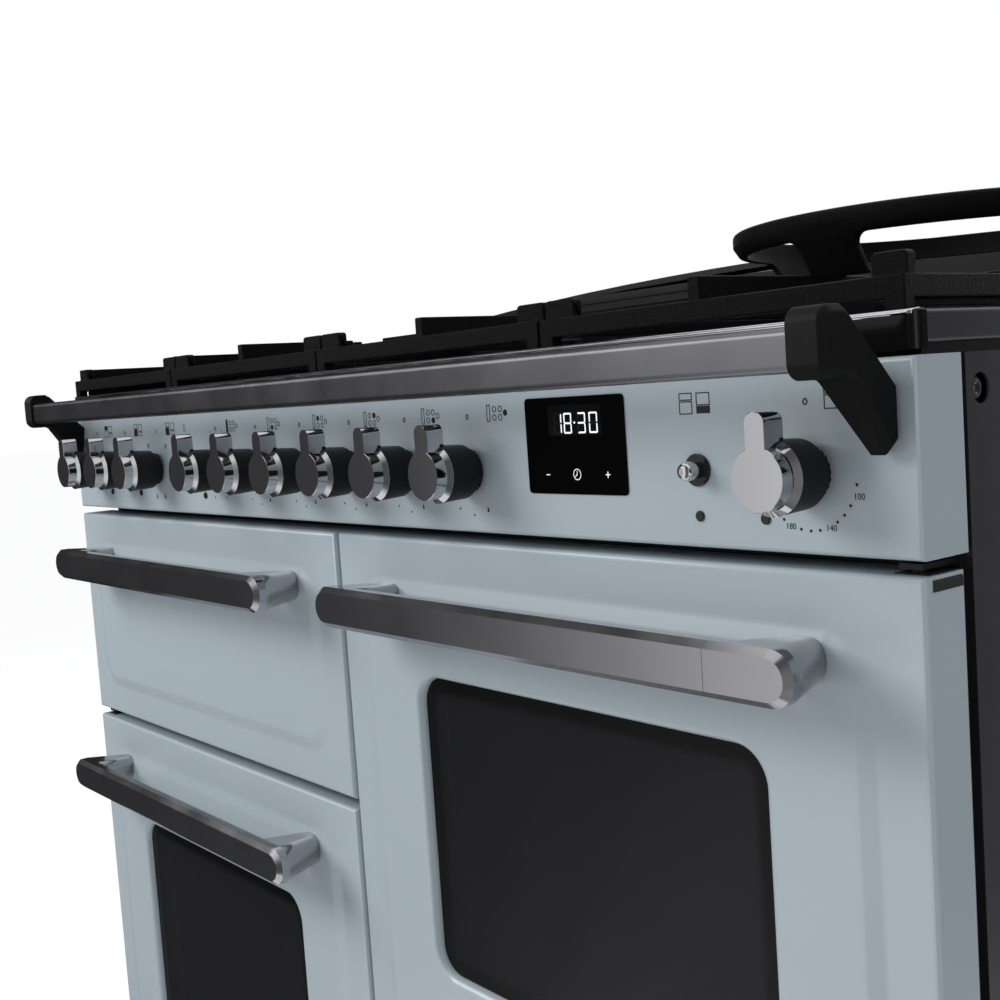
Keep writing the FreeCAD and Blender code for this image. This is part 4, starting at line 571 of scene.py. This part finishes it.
def layout_tree():
    """Geometry Nodes tree that copies one small shape on to each point of a mesh and turns it there."""
    tree = bpy.data.node_groups.new("set_out", "GeometryNodeTree")
    tree.interface.new_socket("Places", in_out="INPUT", socket_type="NodeSocketGeometry")
    inputs = {name: tree.interface.new_socket(name, in_out="INPUT", socket_type=kind).identifier
              for name, kind in (("Shape", "NodeSocketObject"), ("Size", "NodeSocketFloat"),
                                 ("Finish", "NodeSocketMaterial"))}
    tree.interface.new_socket("Geometry", in_out="OUTPUT", socket_type="NodeSocketGeometry")
    start, end = tree.nodes.new("NodeGroupInput"), tree.nodes.new("NodeGroupOutput")
    shape = tree.nodes.new("GeometryNodeObjectInfo")
    turn = tree.nodes.new("GeometryNodeInputNamedAttribute")
    turn.data_type = "FLOAT_VECTOR"
    turn.inputs["Name"].default_value = "turn"
    euler = tree.nodes.new("FunctionNodeEulerToRotation")
    copies = tree.nodes.new("GeometryNodeInstanceOnPoints")
    real = tree.nodes.new("GeometryNodeRealizeInstances")
    finish = tree.nodes.new("GeometryNodeSetMaterial")
    link = tree.links.new
    link(start.outputs["Places"], copies.inputs["Points"])
    link(start.outputs["Shape"], shape.inputs["Object"])
    link(shape.outputs["Geometry"], copies.inputs["Instance"])
    link(turn.outputs["Attribute"], euler.inputs["Euler"])
    link(euler.outputs["Rotation"], copies.inputs["Rotation"])
    link(start.outputs["Size"], copies.inputs["Scale"])
    link(copies.outputs["Instances"], real.inputs["Geometry"])
    link(real.outputs["Geometry"], finish.inputs["Geometry"])
    link(start.outputs["Finish"], finish.inputs["Material"])
    link(finish.outputs["Geometry"], end.inputs["Geometry"])
    return tree, inputs


LAYOUT, LAYOUT_INPUTS = layout_tree()


def set_out(name, shape, places, material, body, size=1.0, smooth=None):
    """Copies of a shape at (place in metres, turn) pairs, as one plain mesh that rides on a body."""
    mesh = bpy.data.meshes.new(name)
    mesh.from_pydata([tuple(p) for p, _ in places], [], [])
    turns = mesh.attributes.new("turn", "FLOAT_VECTOR", "POINT")
    for i, (_, turn) in enumerate(places):
        turns.data[i].vector = turn
    points = linked(name + "_places", mesh)
    layout = points.modifiers.new("layout", "NODES")
    layout.node_group = LAYOUT
    layout[LAYOUT_INPUTS["Shape"]] = shape
    layout[LAYOUT_INPUTS["Size"]] = size
    layout[LAYOUT_INPUTS["Finish"]] = material
    bpy.context.view_layer.update()
    made = settled_mesh(points)
    made.name = name
    made.materials.clear()
    made.materials.append(material)
    points.modifiers.clear()
    bpy.data.objects.remove(points)
    if smooth is not None:
        made.shade_smooth()
        made.set_sharp_from_angle(angle=math.radians(smooth))
    piece = linked(name, made)
    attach(piece, body)


LOBE = 0.17


def turned(name, profile, steps=24, lobes=None):
    """A shape turned about Z from (radius, height) points, foot first; lobes scallops the rings it names."""
    points, faces = [], []
    for k, (r, z) in enumerate(profile):
        for i in range(steps):
            turn = 2 * math.pi * i / steps
            rr = r * (1 + LOBE * math.cos(6 * turn)) if lobes and k in lobes else r
            points.append((rr * math.cos(turn) / 1000, rr * math.sin(turn) / 1000, z / 1000))
    for k in range(len(profile) - 1):
        for i in range(steps):
            j = (i + 1) % steps
            faces.append((k * steps + i, k * steps + j, (k + 1) * steps + j, (k + 1) * steps + i))
    faces.append(tuple(range(steps))[::-1])
    last = (len(profile) - 1) * steps
    faces.append(tuple(last + i for i in range(steps)))
    return mesh_piece(name, points, faces)


screw = turned("screw", [(6.12, -0.2), (6.12, 1.9), (5.75, 2.8), (4.9, 3.3), (3.9, 3.5), (3.0, 3.55), (2.75, 3.45),
                         (2.6, 3.22)], lobes=(5, 6, 7))
SCREW_ROWS = [82.4, -290.45, -663.3]
SCREW_BACK, SOCKET_RADIUS = 56.9, 2.62
screw_chrome = coated("screw_chrome", (0.3, 0.31, 0.34), 0.1, 0.18, shade=0.06, patch=0.004, metallic=1.0)
set_out("side_screws", screw,
        [(spot(side * 540.5, SCREW_BACK, z), (0, side * math.pi / 2, 0)) for side in (-1, 1) for z in SCREW_ROWS],
        screw_chrome, "cooker", smooth=35)
SOCKET = []
for i in range(24):
    t = 2 * math.pi * i / 24
    r = SOCKET_RADIUS * (1 + LOBE * math.cos(6 * t))
    SOCKET.append((r * math.cos(t), r * math.sin(t)))
sockets = bmesh.new()
for side in (-1, 1):
    for z in SCREW_ROWS:
        rows = [[sockets.verts.new(spot(side * x, SCREW_BACK + a, z + b)) for a, b in SOCKET]
                for x in (543.9, 543.99)]
        sockets.faces.new(rows[0])
        sockets.faces.new(rows[1])
        for i in range(24):
            sockets.faces.new((rows[0][i], rows[0][(i + 1) % 24], rows[1][(i + 1) % 24], rows[1][i]))
# Painted shade: the sockets are thin near-black plates on the screw heads, dark as the inside of a recess.
painted_hollow_shade = coated("painted_hollow_shade", (0.006, 0.006, 0.007), 0.4, 0.5, shade=0.2, patch=0.002)
finished("side_screw_sockets", sockets, painted_hollow_shade, "cooker")


# Inner carcass: folded and welded sheet, coloured near-black where it shows between the doors, as are the hinge
# brackets.
# Chassis and back are zinc-coated sheet with the faint spangle of the coating, the back screwed on and pressed with
# rows of louvres.
def zinc(name, colour, cell):
    material, tree, shader, place = new_finish(name)
    spangle = shader_node(tree, "TexVoronoi", {"Vector": place, "Scale": 1 / cell})
    tone = shader_node(tree, "MapRange", {0: spangle.outputs["Color"], 3: 0.85, 4: 1.12})
    hue = shader_node(tree, "Mix", {0: 1.0, 6: list(colour) + [1], 7: tone.outputs[0]}, data_type="RGBA",
                      blend_type="MULTIPLY")
    tree.links.new(hue.outputs[2], shader.inputs["Base Color"])
    uneven_gloss(tree, place, shader, 0.35, 0.5, cell * 2)
    surface_grain(tree, place, shader, 0.0008, 0.00002)
    shader.inputs["Metallic"].default_value = 1.0
    return material


carcass_black = coated("carcass_near_black", (0.006, 0.006, 0.0065), 0.35, 0.5, shade=0.15, patch=0.1, specular=0.25)
dress(carcass_black, "carcass_frame", "hinge_brackets")
galvanised = zinc("galvanised_sheet", (0.46, 0.47, 0.48), 0.02)
dress(galvanised, "base_chassis", "back_panel", "fan_motors")
plated = zinc("zinc_plate", (0.5, 0.49, 0.47), 0.004)
dress(plated, "feet_and_forks")
(back_left, _, back_foot), (back_right, back_y, back_top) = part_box("back_panel")
pan_head = turned("pan_head", [(4.0, -0.1), (4.0, 1.2), (3.4, 2.0), (2.2, 2.45), (1.5, 2.5), (1.3, 1.5)], 12)
edge_spots = []
for step in range(7):
    x = back_left + 0.02 + (back_right - back_left - 0.04) * step / 6
    edge_spots += [(x, back_y, back_foot + 0.016), (x, back_y, back_top - 0.016)]
for step in range(1, 5):
    z = back_foot + (back_top - back_foot) * step / 5
    edge_spots += [(back_left + 0.02, back_y, z), (back_right - 0.02, back_y, z)]
set_out("back_screws", pan_head, [(p, (-math.pi / 2, 0, 0)) for p in edge_spots], plated, "cooker",
        smooth=40)
LOUVRE_HALF, LOUVRE_TALL, LOUVRE_OUT = 0.034, 0.007, 0.0035
points, faces = [], []
louvre_arc = [(1.0, 0.0), (0.86, 0.55), (0.45, 0.9), (0.0, 1.0)]
for end, reach in ((-1.0, 0.0), (-0.9, 0.8), (-0.78, 1.0), (0.78, 1.0), (0.9, 0.8), (1.0, 0.0)):
    for up, out in louvre_arc:
        points.append((end * LOUVRE_HALF, out * reach * LOUVRE_OUT - 0.0002, up * LOUVRE_TALL))
for k in range(5):
    for i in range(3):
        a = 4 * k + i
        faces.append((a, a + 4, a + 5, a + 1))
    faces.append((4 * k + 3, 4 * k + 7, 4 * k + 4, 4 * k))
louvre = mesh_piece("louvre", points, faces)
work = bmesh.new()
work.from_mesh(louvre.data)
bmesh.ops.recalc_face_normals(work, faces=work.faces)
work.to_mesh(louvre.data)
work.free()
louvre_spots = [((x, back_y, back_foot + 0.3 + 0.016 * row), (0, 0, 0))
                for row in range(12) for x in (-0.38, -0.29, 0.29, 0.38)]
set_out("back_louvres", louvre, louvre_spots, galvanised, "cooker", smooth=40)


# Knobs: a chromed pointer and bevelled ring pressed on to a drum moulded in anthracite plastic.
RING_BACK, DRUM_RADIUS = -29.99, 20.6
knob_finish, tree, shader, place = new_finish("knob_chrome_and_drum")
axes = shader_node(tree, "SeparateXYZ", {0: place})
behind = math_node(tree, "GREATER_THAN", axes.outputs[1], spot(0, RING_BACK, 0)[1])
high = math_node(tree, "LESS_THAN", axes.outputs[2], spot(0, 0, KNOB_HEIGHT + DRUM_RADIUS)[2])
drum = math_node(tree, "MULTIPLY", behind, high)
hue = shader_node(tree, "Mix", {0: drum, 6: (0.52, 0.52, 0.535, 1), 7: (0.0055, 0.006, 0.0068, 1)}, data_type="RGBA")
tree.links.new(hue.outputs[2], shader.inputs["Base Color"])
cloud = shader_node(tree, "TexNoise", {"Vector": place, "Scale": 60.0})
drum_gloss = shader_node(tree, "MapRange", {0: cloud.outputs[0], 3: 0.42, 4: 0.52})
chrome_gloss = shader_node(tree, "MapRange", {0: cloud.outputs[0], 3: 0.05, 4: 0.09})
gloss = shader_node(tree, "Mix", {0: drum, 2: chrome_gloss.outputs[0], 3: drum_gloss.outputs[0]})
tree.links.new(gloss.outputs[0], shader.inputs["Roughness"])
tree.links.new(math_node(tree, "SUBTRACT", 1.0, drum), shader.inputs["Metallic"])
shader.inputs["Specular IOR Level"].default_value = 0.2
FACE_R, TAB_HALF, TAB_TOP, TAB_ROUND = 17.0, 6.5, 34.5, 5.4


def keyhole(inset, body=True):
    """Outline of the pointer: a round face with a tab standing on it, or the tab alone."""
    r, half, top = FACE_R - inset, TAB_HALF - inset, TAB_TOP - inset
    corner = TAB_ROUND - inset
    outline = []
    if body:
        start = math.asin(half / r)
        for i in range(73):
            turn = start + (2 * math.pi - 2 * start) * i / 72
            outline.append((r * math.sin(turn), r * math.cos(turn)))
    else:
        outline += [(half, 10.0), (-half, 10.0)]
    for cx, turns in ((-(half - corner), range(180, 89, -10)), (half - corner, range(90, -1, -10))):
        outline += [(cx + corner * math.cos(math.radians(t)), top - corner + corner * math.sin(math.radians(t)))
                    for t in turns]
    return outline


def rings_about(work, profile, x, z, steps=96):
    """A shape turned about the knob's axis from (distance from the doors, radius, rib) points."""
    rings = []
    for y, r, rib in profile:
        ring = []
        for i in range(steps):
            turn = 2 * math.pi * i / steps
            rr = r + (rib if i % 4 < 2 else 0)
            ring.append((rr * math.cos(turn), rr * math.sin(turn)))
        rings.append((y, ring))
    add_rings(work, rings, x, z)


def join_rows(work, rows):
    """Skin between rows of as many corners each, closed at both ends."""
    count = len(rows[0])
    for low, high in zip(rows, rows[1:]):
        for i in range(count):
            work.faces.new((low[i], low[(i + 1) % count], high[(i + 1) % count], high[i]))
    work.faces.new(rows[0])
    work.faces.new(rows[-1])


def add_rings(work, rings, x, z, side=1):
    """Join outlines, each with its distance from the doors, into a closed shape."""
    join_rows(work, [[work.verts.new(spot(x + side * a, y, z + b)) for a, b in outline] for y, outline in rings])


def swept(section, stations):
    """A bar along the front: the same section, in depth and height, at each (x, depth, height) station."""
    work = bmesh.new()
    join_rows(work, [[work.verts.new(spot(x, y + a, z + b)) for a, b in section] for x, y, z in stations])
    return work


for number, x in enumerate(OVEN_KNOBS + GAS_KNOBS + (LAST_KNOB,), 1):
    work = bmesh.new()
    add_rings(work, [(-41.7, keyhole(0.3)), (-41.4, keyhole(0)), (-32.9, keyhole(0))], x, KNOB_HEIGHT)
    add_rings(work, [(-33.5, keyhole(0.03, False)), (-26.9, keyhole(0.03, False)), (-26.4, keyhole(0.5, False))],
              x, KNOB_HEIGHT)
    rings_about(work, [(-33.05, 16.4, 0), (-33.05, 17.02, 0), (-30.2, 20.2, 0), (-29.995, 20.2, 0)], x, KNOB_HEIGHT)
    rings_about(work, [(RING_BACK, 19.7, 0), (-29.6, 20.0, 0), (-8.2, 18.85, 0), (-7.2, 18.4, 0), (-6.8, 17.5, 0),
                       (-6.8, 14.0, 0)], x, KNOB_HEIGHT)
    rings_about(work, [(-7.0, 14.6, 0), (-7.0, 15.0, 0.55), (-1.2, 15.0, 0.55), (-0.8, 14.6, 0.4)], x, KNOB_HEIGHT)
    name = "knob_%d" % number
    knob = finished(name + "_dressed", work, knob_finish, name)
    evened(knob, 25)
    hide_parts(name)


# Handles: polished black chrome on die castings with sharp bevels. Button ring and lamps: glossy black.
def polished(name, colour, low, high):
    material, tree, shader, place = new_finish(name)
    mottle(tree, place, shader, colour, 0.04, 0.2)
    uneven_gloss(tree, place, shader, low, high, 0.05)
    shader.inputs["Metallic"].default_value = 1.0
    return material


black_chrome = polished("black_chrome", (0.40, 0.40, 0.415), 0.13, 0.19)
BAR_HALF, BAR_TALL, BAR_FRONT, BAR_BACK, BAR_BEVEL = 228.5, 15.5, -52.5, -41.0, 4.0
END_SEAM, LEG_IN, FOOT_IN, FOOT_OUT, FOOT_TALL = 171.0, 178.0, 184.0, 213.0, 12.5
SEAM_HALF, SEAM_DEPTH, HANDLE_DROP = 0.16, 0.0012, 48.0


def rounded_bar(x0, x1, tall, round0, round1, steps=14):
    """Outline of a level bar with a rounding of its own at each end."""
    outline = []
    for cx, cz, r, start in ((x1 - round1, tall - round1, round1, 0), (x0 + round0, tall - round0, round0, 90),
                             (x0 + round0, round0 - tall, round0, 180), (x1 - round1, round1 - tall, round1, 270)):
        for i in range(steps + 1):
            turn = math.radians(start + 90 * i / steps)
            outline.append((cx + r * math.cos(turn), cz + r * math.sin(turn)))
    return outline


def bar(inset):
    """Outline of the grip: nearly half round at both ends."""
    tall = BAR_TALL - inset
    return rounded_bar(inset - BAR_HALF, BAR_HALF - inset, tall, tall * 0.999, tall * 0.999)


for name, body, x, top in (("grill_handle", "grill_drawer", -274.25, -8.0),
                           ("left_oven_handle", "left_oven_door", -274.25, -240.0),
                           ("right_oven_handle", "right_oven_door", 274.25, -8.0),
                           ("slow_oven_handle", "slow_oven_door", 274.25, -457.0)):
    z = top - HANDLE_DROP
    work = bmesh.new()
    add_rings(work, [(BAR_FRONT, bar(BAR_BEVEL)), (BAR_FRONT + BAR_BEVEL, bar(0)), (BAR_BACK - 0.8, bar(0)),
                     (BAR_BACK, bar(0.8))], x, z)
    for side in (-1, 1):
        for off in (-SEAM_HALF, 0, SEAM_HALF):
            plane = Vector(spot(x + side * END_SEAM + off, 0, 0))
            geometry = work.verts[:] + work.edges[:] + work.faces[:]
            bmesh.ops.bisect_plane(work, geom=geometry, dist=0.000001, plane_co=plane, plane_no=(1, 0, 0))
        middle = Vector(spot(x + side * END_SEAM, (BAR_FRONT + BAR_BACK) / 2, z))
        for vert in work.verts:
            if abs(vert.co.x - middle.x) < 0.00002:
                off = vert.co - middle
                vert.co.y -= math.copysign(SEAM_DEPTH, off.y)
                vert.co.z -= math.copysign(SEAM_DEPTH, off.z)
    bmesh.ops.remove_doubles(work, verts=work.verts, dist=0.000002)
    for side in (-1, 1):
        rings = []
        for share, y in ((0, BAR_FRONT + BAR_BEVEL + 0.6), (0, BAR_BACK), (0.33, -27.5), (0.67, -14.0), (1, -0.5),
                         (1, 0.6)):
            inner, outer = LEG_IN + (FOOT_IN - LEG_IN) * share, BAR_HALF - 0.02 + (FOOT_OUT - BAR_HALF) * share
            tall = BAR_TALL - 0.02 + (FOOT_TALL - BAR_TALL) * share
            rings.append((y, rounded_bar(inner, outer, tall, 9.0, tall * 0.999)))
        add_rings(work, rings, x, z, side)
    bmesh.ops.recalc_face_normals(work, faces=work.faces)
    piece = finished(name + "_cast", work, black_chrome, body, recalc=False)
    evened(piece, 20)
    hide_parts(name)

lamp_black = coated("lamp_black", (0.012, 0.012, 0.013), 0.12, 0.2, shade=0.08, patch=0.01, specular=0.4)
dress(lamp_black, "button_bezel_and_lamps")
dress(bright_chrome, "ignition_button", "left_oven_rack", "right_oven_rack", "grill_carriage")


# Towel rail: a rectangular bar in gunmetal satin, let into two cast brackets with a fine rough coat.
rail_metal = polished("rail_gunmetal", (0.17, 0.17, 0.18), 0.24, 0.3)
rail = swept(rounded_bar(-6.5, 6.5, 11.0, 4.0, 4.0, 8), [(x, -49.5, 107.0) for x in (-525.0, 525.0)])
rail = finished("towel_rail_bar", rail, rail_metal, "cooker")
evened(rail, 30)
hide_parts("towel_rail")


def cast_coat(name, colour, grain, depth, rough, speck, specular):
    material, tree, shader, place = new_finish(name)
    mottle(tree, place, shader, colour, 0.25, 0.004)
    pits = shader_node(tree, "TexNoise", {"Vector": place, "Scale": 1 / grain, "Detail": 4.0, "Roughness": 0.65})
    gloss = shader_node(tree, "MapRange", {0: pits.outputs[0], 1: 0.35, 2: 0.7, 3: rough, 4: rough - speck})
    tree.links.new(gloss.outputs[0], shader.inputs["Roughness"])
    bump = shader_node(tree, "Bump", {"Height": pits.outputs[0], "Distance": depth, "Strength": 1.0})
    tree.links.new(bump.outputs[0], shader.inputs["Normal"])
    shader.inputs["Specular IOR Level"].default_value = specular
    return material


bracket_coat = cast_coat("bracket_coat", (0.005, 0.005, 0.0054), 0.0006, 0.00012, 0.6, 0.1, 0.09)
fair_copy("rail_brackets", "cooker", bracket_coat, edge=0.0007, angle=35)


# Pan supports and wok ring: grey iron castings under a coat of matt black enamel that keeps the sand's grain. Each
# edge is rounded by the mould. The two end supports have a rib under their outer bar.
cast_iron = cast_coat("cast_iron", (0.0025, 0.0025, 0.0028), 0.0013, 0.0011, 0.46, 0.22, 0.07)
for number in range(1, 5):
    fair_copy("pan_support_%d" % number, "pan_support_%d" % number, cast_iron, edge=0.0011, angle=40)
fair_copy("wok_ring", "wok_ring", cast_iron, edge=0.0012, angle=40)
for name, side in (("pan_support_1", -1), ("pan_support_4", 1)):
    rib = bmesh.new()
    section = rounded_bar(-3.5, 3.5, 2.4, 1.2, 1.2, 3)
    add_rings(rib, [(16.0, section), (530.0, section)], side * 533.0, 127.0)
    evened(finished(name + "_rib", rib, cast_iron, name), 40)


# Hob: tray and front trim in gloss black vitreous enamel, side trims in gunmetal, burner caps in matt black enamel on
# alloy bodies with slots for the flames. A ceramic spark plug and a flame probe stand beside each burner.
hob_enamel = coated("hob_enamel", (0.004, 0.004, 0.0045), 0.08, 0.16, shade=0.1, grain=0.004, depth=0.00001)
dress(hob_enamel, "hob_tray")
trim_finish = coated("trim_enamel", (0.004, 0.004, 0.0045), 0.08, 0.14, shade=0.1, grain=0.004, depth=0.00001,
                     specular=0.2)
at_side = past(trim_finish.node_tree, object_place(trim_finish), "Y", spot(0, 12.01, 0)[1])
second_colour(trim_finish, at_side, (0.105, 0.105, 0.11), 0.3)
trim_finish.node_tree.links.new(math_node(trim_finish.node_tree, "MULTIPLY", at_side, 0.9),
                                trim_finish.node_tree.nodes["Principled BSDF"].inputs["Metallic"])
fair_copy("hob_trims", "cooker", trim_finish)
BEAD_HEIGHT = 123.5
section = [(6.0, 0.0), (3.2, 0.45), (1.9, -0.2), (1.45, -1.3), (1.45, -2.2), (1.9, -2.8), (6.0, -2.8)]
bead = swept(section, [(end, back, BEAD_HEIGHT) for end, back in (
    (-545.2, 4.6), (-543.4, 1.5), (-540.6, 0.0), (540.6, 0.0), (543.4, 1.5), (545.2, 4.6))])
evened(finished("hob_bead", bead, bright_chrome, "cooker"), 50)
cap_enamel = coated("cap_enamel", (0.01, 0.01, 0.011), 0.4, 0.52, shade=0.12, patch=0.02, specular=0.3)
dress(cap_enamel, "burner_caps")
burner_alloy = coated("burner_alloy", (0.22, 0.22, 0.23), 0.45, 0.6, shade=0.1, patch=0.02, metallic=1.0)
dress(burner_alloy, "burner_bodies", "gas_manifold")
BURNERS = ((-152.02, 150, 46), (-152.02, 410, 34), (126.05, 150, 34), (126.05, 410, 46), (398.0, 270, 62))
LONG_BURNER = (-415.49, 270, 150, 24)
LONG_SLOTS, CUP_TOP, PLUG_FOOT = 34, 121.5, 109.5
points = [(0, -0.0006, -0.0014), (0, 0.0006, -0.0014), (0, 0.0009, 0), (0, 0.0006, 0.0014), (0, -0.0006, 0.0014),
          (0, -0.0009, 0)]
flame_slot = mesh_piece("flame_slot", [(x + 0.00025, y, z) for x, y, z in points] +
                        [(x - 0.0006, y, z) for x, y, z in points],
                        [(0, 1, 2, 3, 4, 5), (11, 10, 9, 8, 7, 6)] +
                        [(i, i + 6, (i + 1) % 6 + 6, (i + 1) % 6) for i in range(6)])
slots = []
for x, y, radius in BURNERS:
    count = int(radius * 0.8)
    for i in range(count):
        turn = 2 * math.pi * i / count
        r = radius - 2.0
        slots.append((spot(x + r * math.cos(turn), y + r * math.sin(turn), CUP_TOP - 2.0), (0, -math.pi / 4, turn)))
x, y, half, radius = LONG_BURNER
for i in range(LONG_SLOTS):
    along = y - half + radius + (2 * half - 2 * radius) * i / (LONG_SLOTS - 1)
    for side in (-1, 1):
        slots.append((spot(x + side * radius, along, CUP_TOP - 5.0), (0, 0, 0 if side > 0 else math.pi)))
# Painted shade: the flame slots are small near-black plugs in the burner rims, dark as open slots.
set_out("flame_slots", flame_slot, slots, painted_hollow_shade, "cooker")
plug = turned("spark_plug", [(3.4, -0.4), (3.4, 1.0), (2.6, 1.4), (2.6, 8.6), (2.1, 9.4), (0.9, 9.8), (0.9, 12.0),
                             (0.5, 12.8)], 16)
probe = turned("flame_probe", [(3.0, -0.4), (3.0, 1.2), (1.7, 1.6), (1.7, 9.0), (1.9, 9.3), (1.9, 12.6), (1.2, 13.6),
                               (0.5, 13.9)], 16)
plug_spots, probe_spots = [], []
for x, y, radius in BURNERS:
    for turn, spots in ((-45, plug_spots), (-135, probe_spots)):
        reach = radius + 6.5
        spots.append((spot(x + reach * math.cos(math.radians(turn)), y + reach * math.sin(math.radians(turn)),
                            PLUG_FOOT),
                      (0, 0, 0)))
plug_spots.append((spot(LONG_BURNER[0] + 31, 300, PLUG_FOOT), (0, 0, 0)))
probe_spots.append((spot(LONG_BURNER[0] + 31, 240, PLUG_FOOT), (0, 0, 0)))
plug_ceramic = coated("plug_ceramic", (0.72, 0.7, 0.66), 0.22, 0.3, shade=0.03, patch=0.005)
set_out("spark_plugs", plug, plug_spots, plug_ceramic, "cooker", smooth=40)
probe_steel = coated("probe_steel", (0.36, 0.34, 0.31), 0.3, 0.42, shade=0.12, patch=0.006, metallic=1.0)
set_out("flame_probes", probe, probe_spots, probe_steel, "cooker", smooth=40)
switch_plastic = coated("switch_plastic", (0.55, 0.53, 0.47), 0.45, 0.55)
dress(switch_plastic, "switch_bank")


# Upstand behind the hob: folded sheet in satin black enamel. Its arched top strip is painted a shade lighter than its
# wall, painted light where it faces up to the lamps.
vent_steel = coated("vent_enamel", (0.006, 0.006, 0.007), 0.3, 0.4, shade=0.08, specular=0.12)
# Painted highlight: the upstand is coloured lighter above this height.
painted_light_band = past(vent_steel.node_tree, object_place(vent_steel), "Z", spot(0, 0, 196.5)[2])
second_colour(vent_steel, painted_light_band, (0.013, 0.013, 0.014), 0.36)
fair_copy("rear_vent", "cooker", vent_steel)


# Oven liners and grill pan: enamelled steel with fine pale specks. The liners' flanges are screwed to the frame.
oven_enamel, tree, shader, place = new_finish("speckled_enamel")
specks = shader_node(tree, "TexVoronoi", {"Vector": place, "Scale": 420.0})
dots = math_node(tree, "LESS_THAN", specks.outputs["Distance"], 0.22)
hue = shader_node(tree, "Mix", {0: dots, 6: (0.014, 0.015, 0.019, 1), 7: (0.07, 0.075, 0.085, 1)}, data_type="RGBA")
tree.links.new(hue.outputs[2], shader.inputs["Base Color"])
uneven_gloss(tree, place, shader, 0.14, 0.24, 0.02)
dress(oven_enamel, "grill_cavity", "left_oven_cavity", "right_oven_cavity", "slow_oven_cavity", "grill_pan")
element_steel = coated("element_steel", (0.10, 0.09, 0.08), 0.4, 0.55, shade=0.2, patch=0.03, metallic=1.0)
dress(element_steel, "heating_elements")
fan_steel = coated("fan_steel", (0.42, 0.42, 0.43), 0.25, 0.35, metallic=1.0)
dress(fan_steel, "left_fan", "right_fan")
seal_rubber = coated("seal_rubber", (0.012, 0.012, 0.0125), 0.6, 0.75, grain=0.001, depth=0.00005, specular=0.3)
dress(seal_rubber, "door_seals")
nylon = coated("nylon", (0.03, 0.03, 0.031), 0.4, 0.5)
dress(nylon, "rear_rollers")


# Oven windows: two panes of dark toughened glass. Round the edge the outer pane is printed with black ink that breaks
# up inwards into a fine screen of dots.
PANE_DEPTH, PANE_THICK, PANE_ROUND = 3.2, 4.0, 21.0
INK_FADE, DOT_PITCH = 0.017, 0.0017


def window_pane(name, body, node):
    (middle_x, middle_z), (half_x, half_z), corner = window_of(node)
    material, tree, shader, place = new_finish(name)
    axes = shader_node(tree, "SeparateXYZ", {0: place})
    over = []
    for axis, middle, half in ((0, middle_x, half_x), (2, middle_z, half_z)):
        off = math_node(tree, "ABSOLUTE", math_node(tree, "SUBTRACT", axes.outputs[axis], middle))
        over.append(math_node(tree, "SUBTRACT", off, half - corner))
    past_x, past_z = [math_node(tree, "MAXIMUM", q, 0.0) for q in over]
    far = math_node(tree, "SQRT", math_node(tree, "ADD", math_node(tree, "POWER", past_x, 2.0),
                                            math_node(tree, "POWER", past_z, 2.0)))
    near = math_node(tree, "MINIMUM", math_node(tree, "MAXIMUM", over[0], over[1]), 0.0)
    to_edge = math_node(tree, "SUBTRACT", math_node(tree, "ADD", far, near), corner)
    cover = shader_node(tree, "MapRange", {0: to_edge, 1: -INK_FADE, 2: -0.004, 3: -0.15, 4: 1.3}).outputs[0]
    waves = [math_node(tree, "SINE", math_node(tree, "MULTIPLY", axes.outputs[axis], 2 * math.pi / DOT_PITCH))
             for axis in (0, 2)]
    screen = math_node(tree, "MULTIPLY", waves[0], waves[1])
    screen = math_node(tree, "ADD", math_node(tree, "MULTIPLY", screen, 0.5), 0.5)
    ink_on = math_node(tree, "GREATER_THAN", cover, screen)
    smoke = mottle(tree, place, shader, (0.015, 0.015, 0.0165), 0.08, 0.1)
    hue = shader_node(tree, "Mix", {0: ink_on, 6: smoke, 7: (0.0012, 0.0012, 0.0014, 1)}, data_type="RGBA")
    tree.links.new(hue.outputs[2], shader.inputs["Base Color"])
    clear = uneven_gloss(tree, place, shader, 0.03, 0.05, 0.03)
    gloss = shader_node(tree, "Mix", {0: ink_on, 2: clear, 3: 0.3})
    tree.links.new(gloss.outputs[0], shader.inputs["Roughness"])
    tree.links.new(shader_node(tree, "MapRange", {0: ink_on, 3: 0.74, 4: 1.0}).outputs[0], shader.inputs["Alpha"])
    shader.inputs["Specular IOR Level"].default_value = 0.14
    panes = bmesh.new()
    inner_face = (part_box(node)[1][1] + DOOR_PLANE / 1000) * 1000
    for front, lap in ((PANE_DEPTH, -0.15), (inner_face - PANE_THICK, 9.0)):
        wide, tall = half_x * 1000 + lap, half_z * 1000 + lap
        rings = [(front, -0.5), (front + 0.5, 0.0), (front + PANE_THICK - 0.5, 0.0), (front + PANE_THICK, -0.5)]
        add_rings(panes, [(y, rounded_bar(-wide - inset, wide + inset, tall + inset, PANE_ROUND, PANE_ROUND, 10))
                          for y, inset in rings], middle_x * 1000, middle_z * 1000 - PANEL_FOOT)
    piece = finished(node + "_panes", panes, material, body)
    evened(piece, 30)
    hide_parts(node)


window_pane("right_window_glass", "right_oven_door", "right_oven_glass")
window_pane("left_window_glass", "left_oven_door", "left_oven_glass")

for tool in (screw, pan_head, louvre, flame_slot, plug, probe):
    bpy.data.objects.remove(tool)
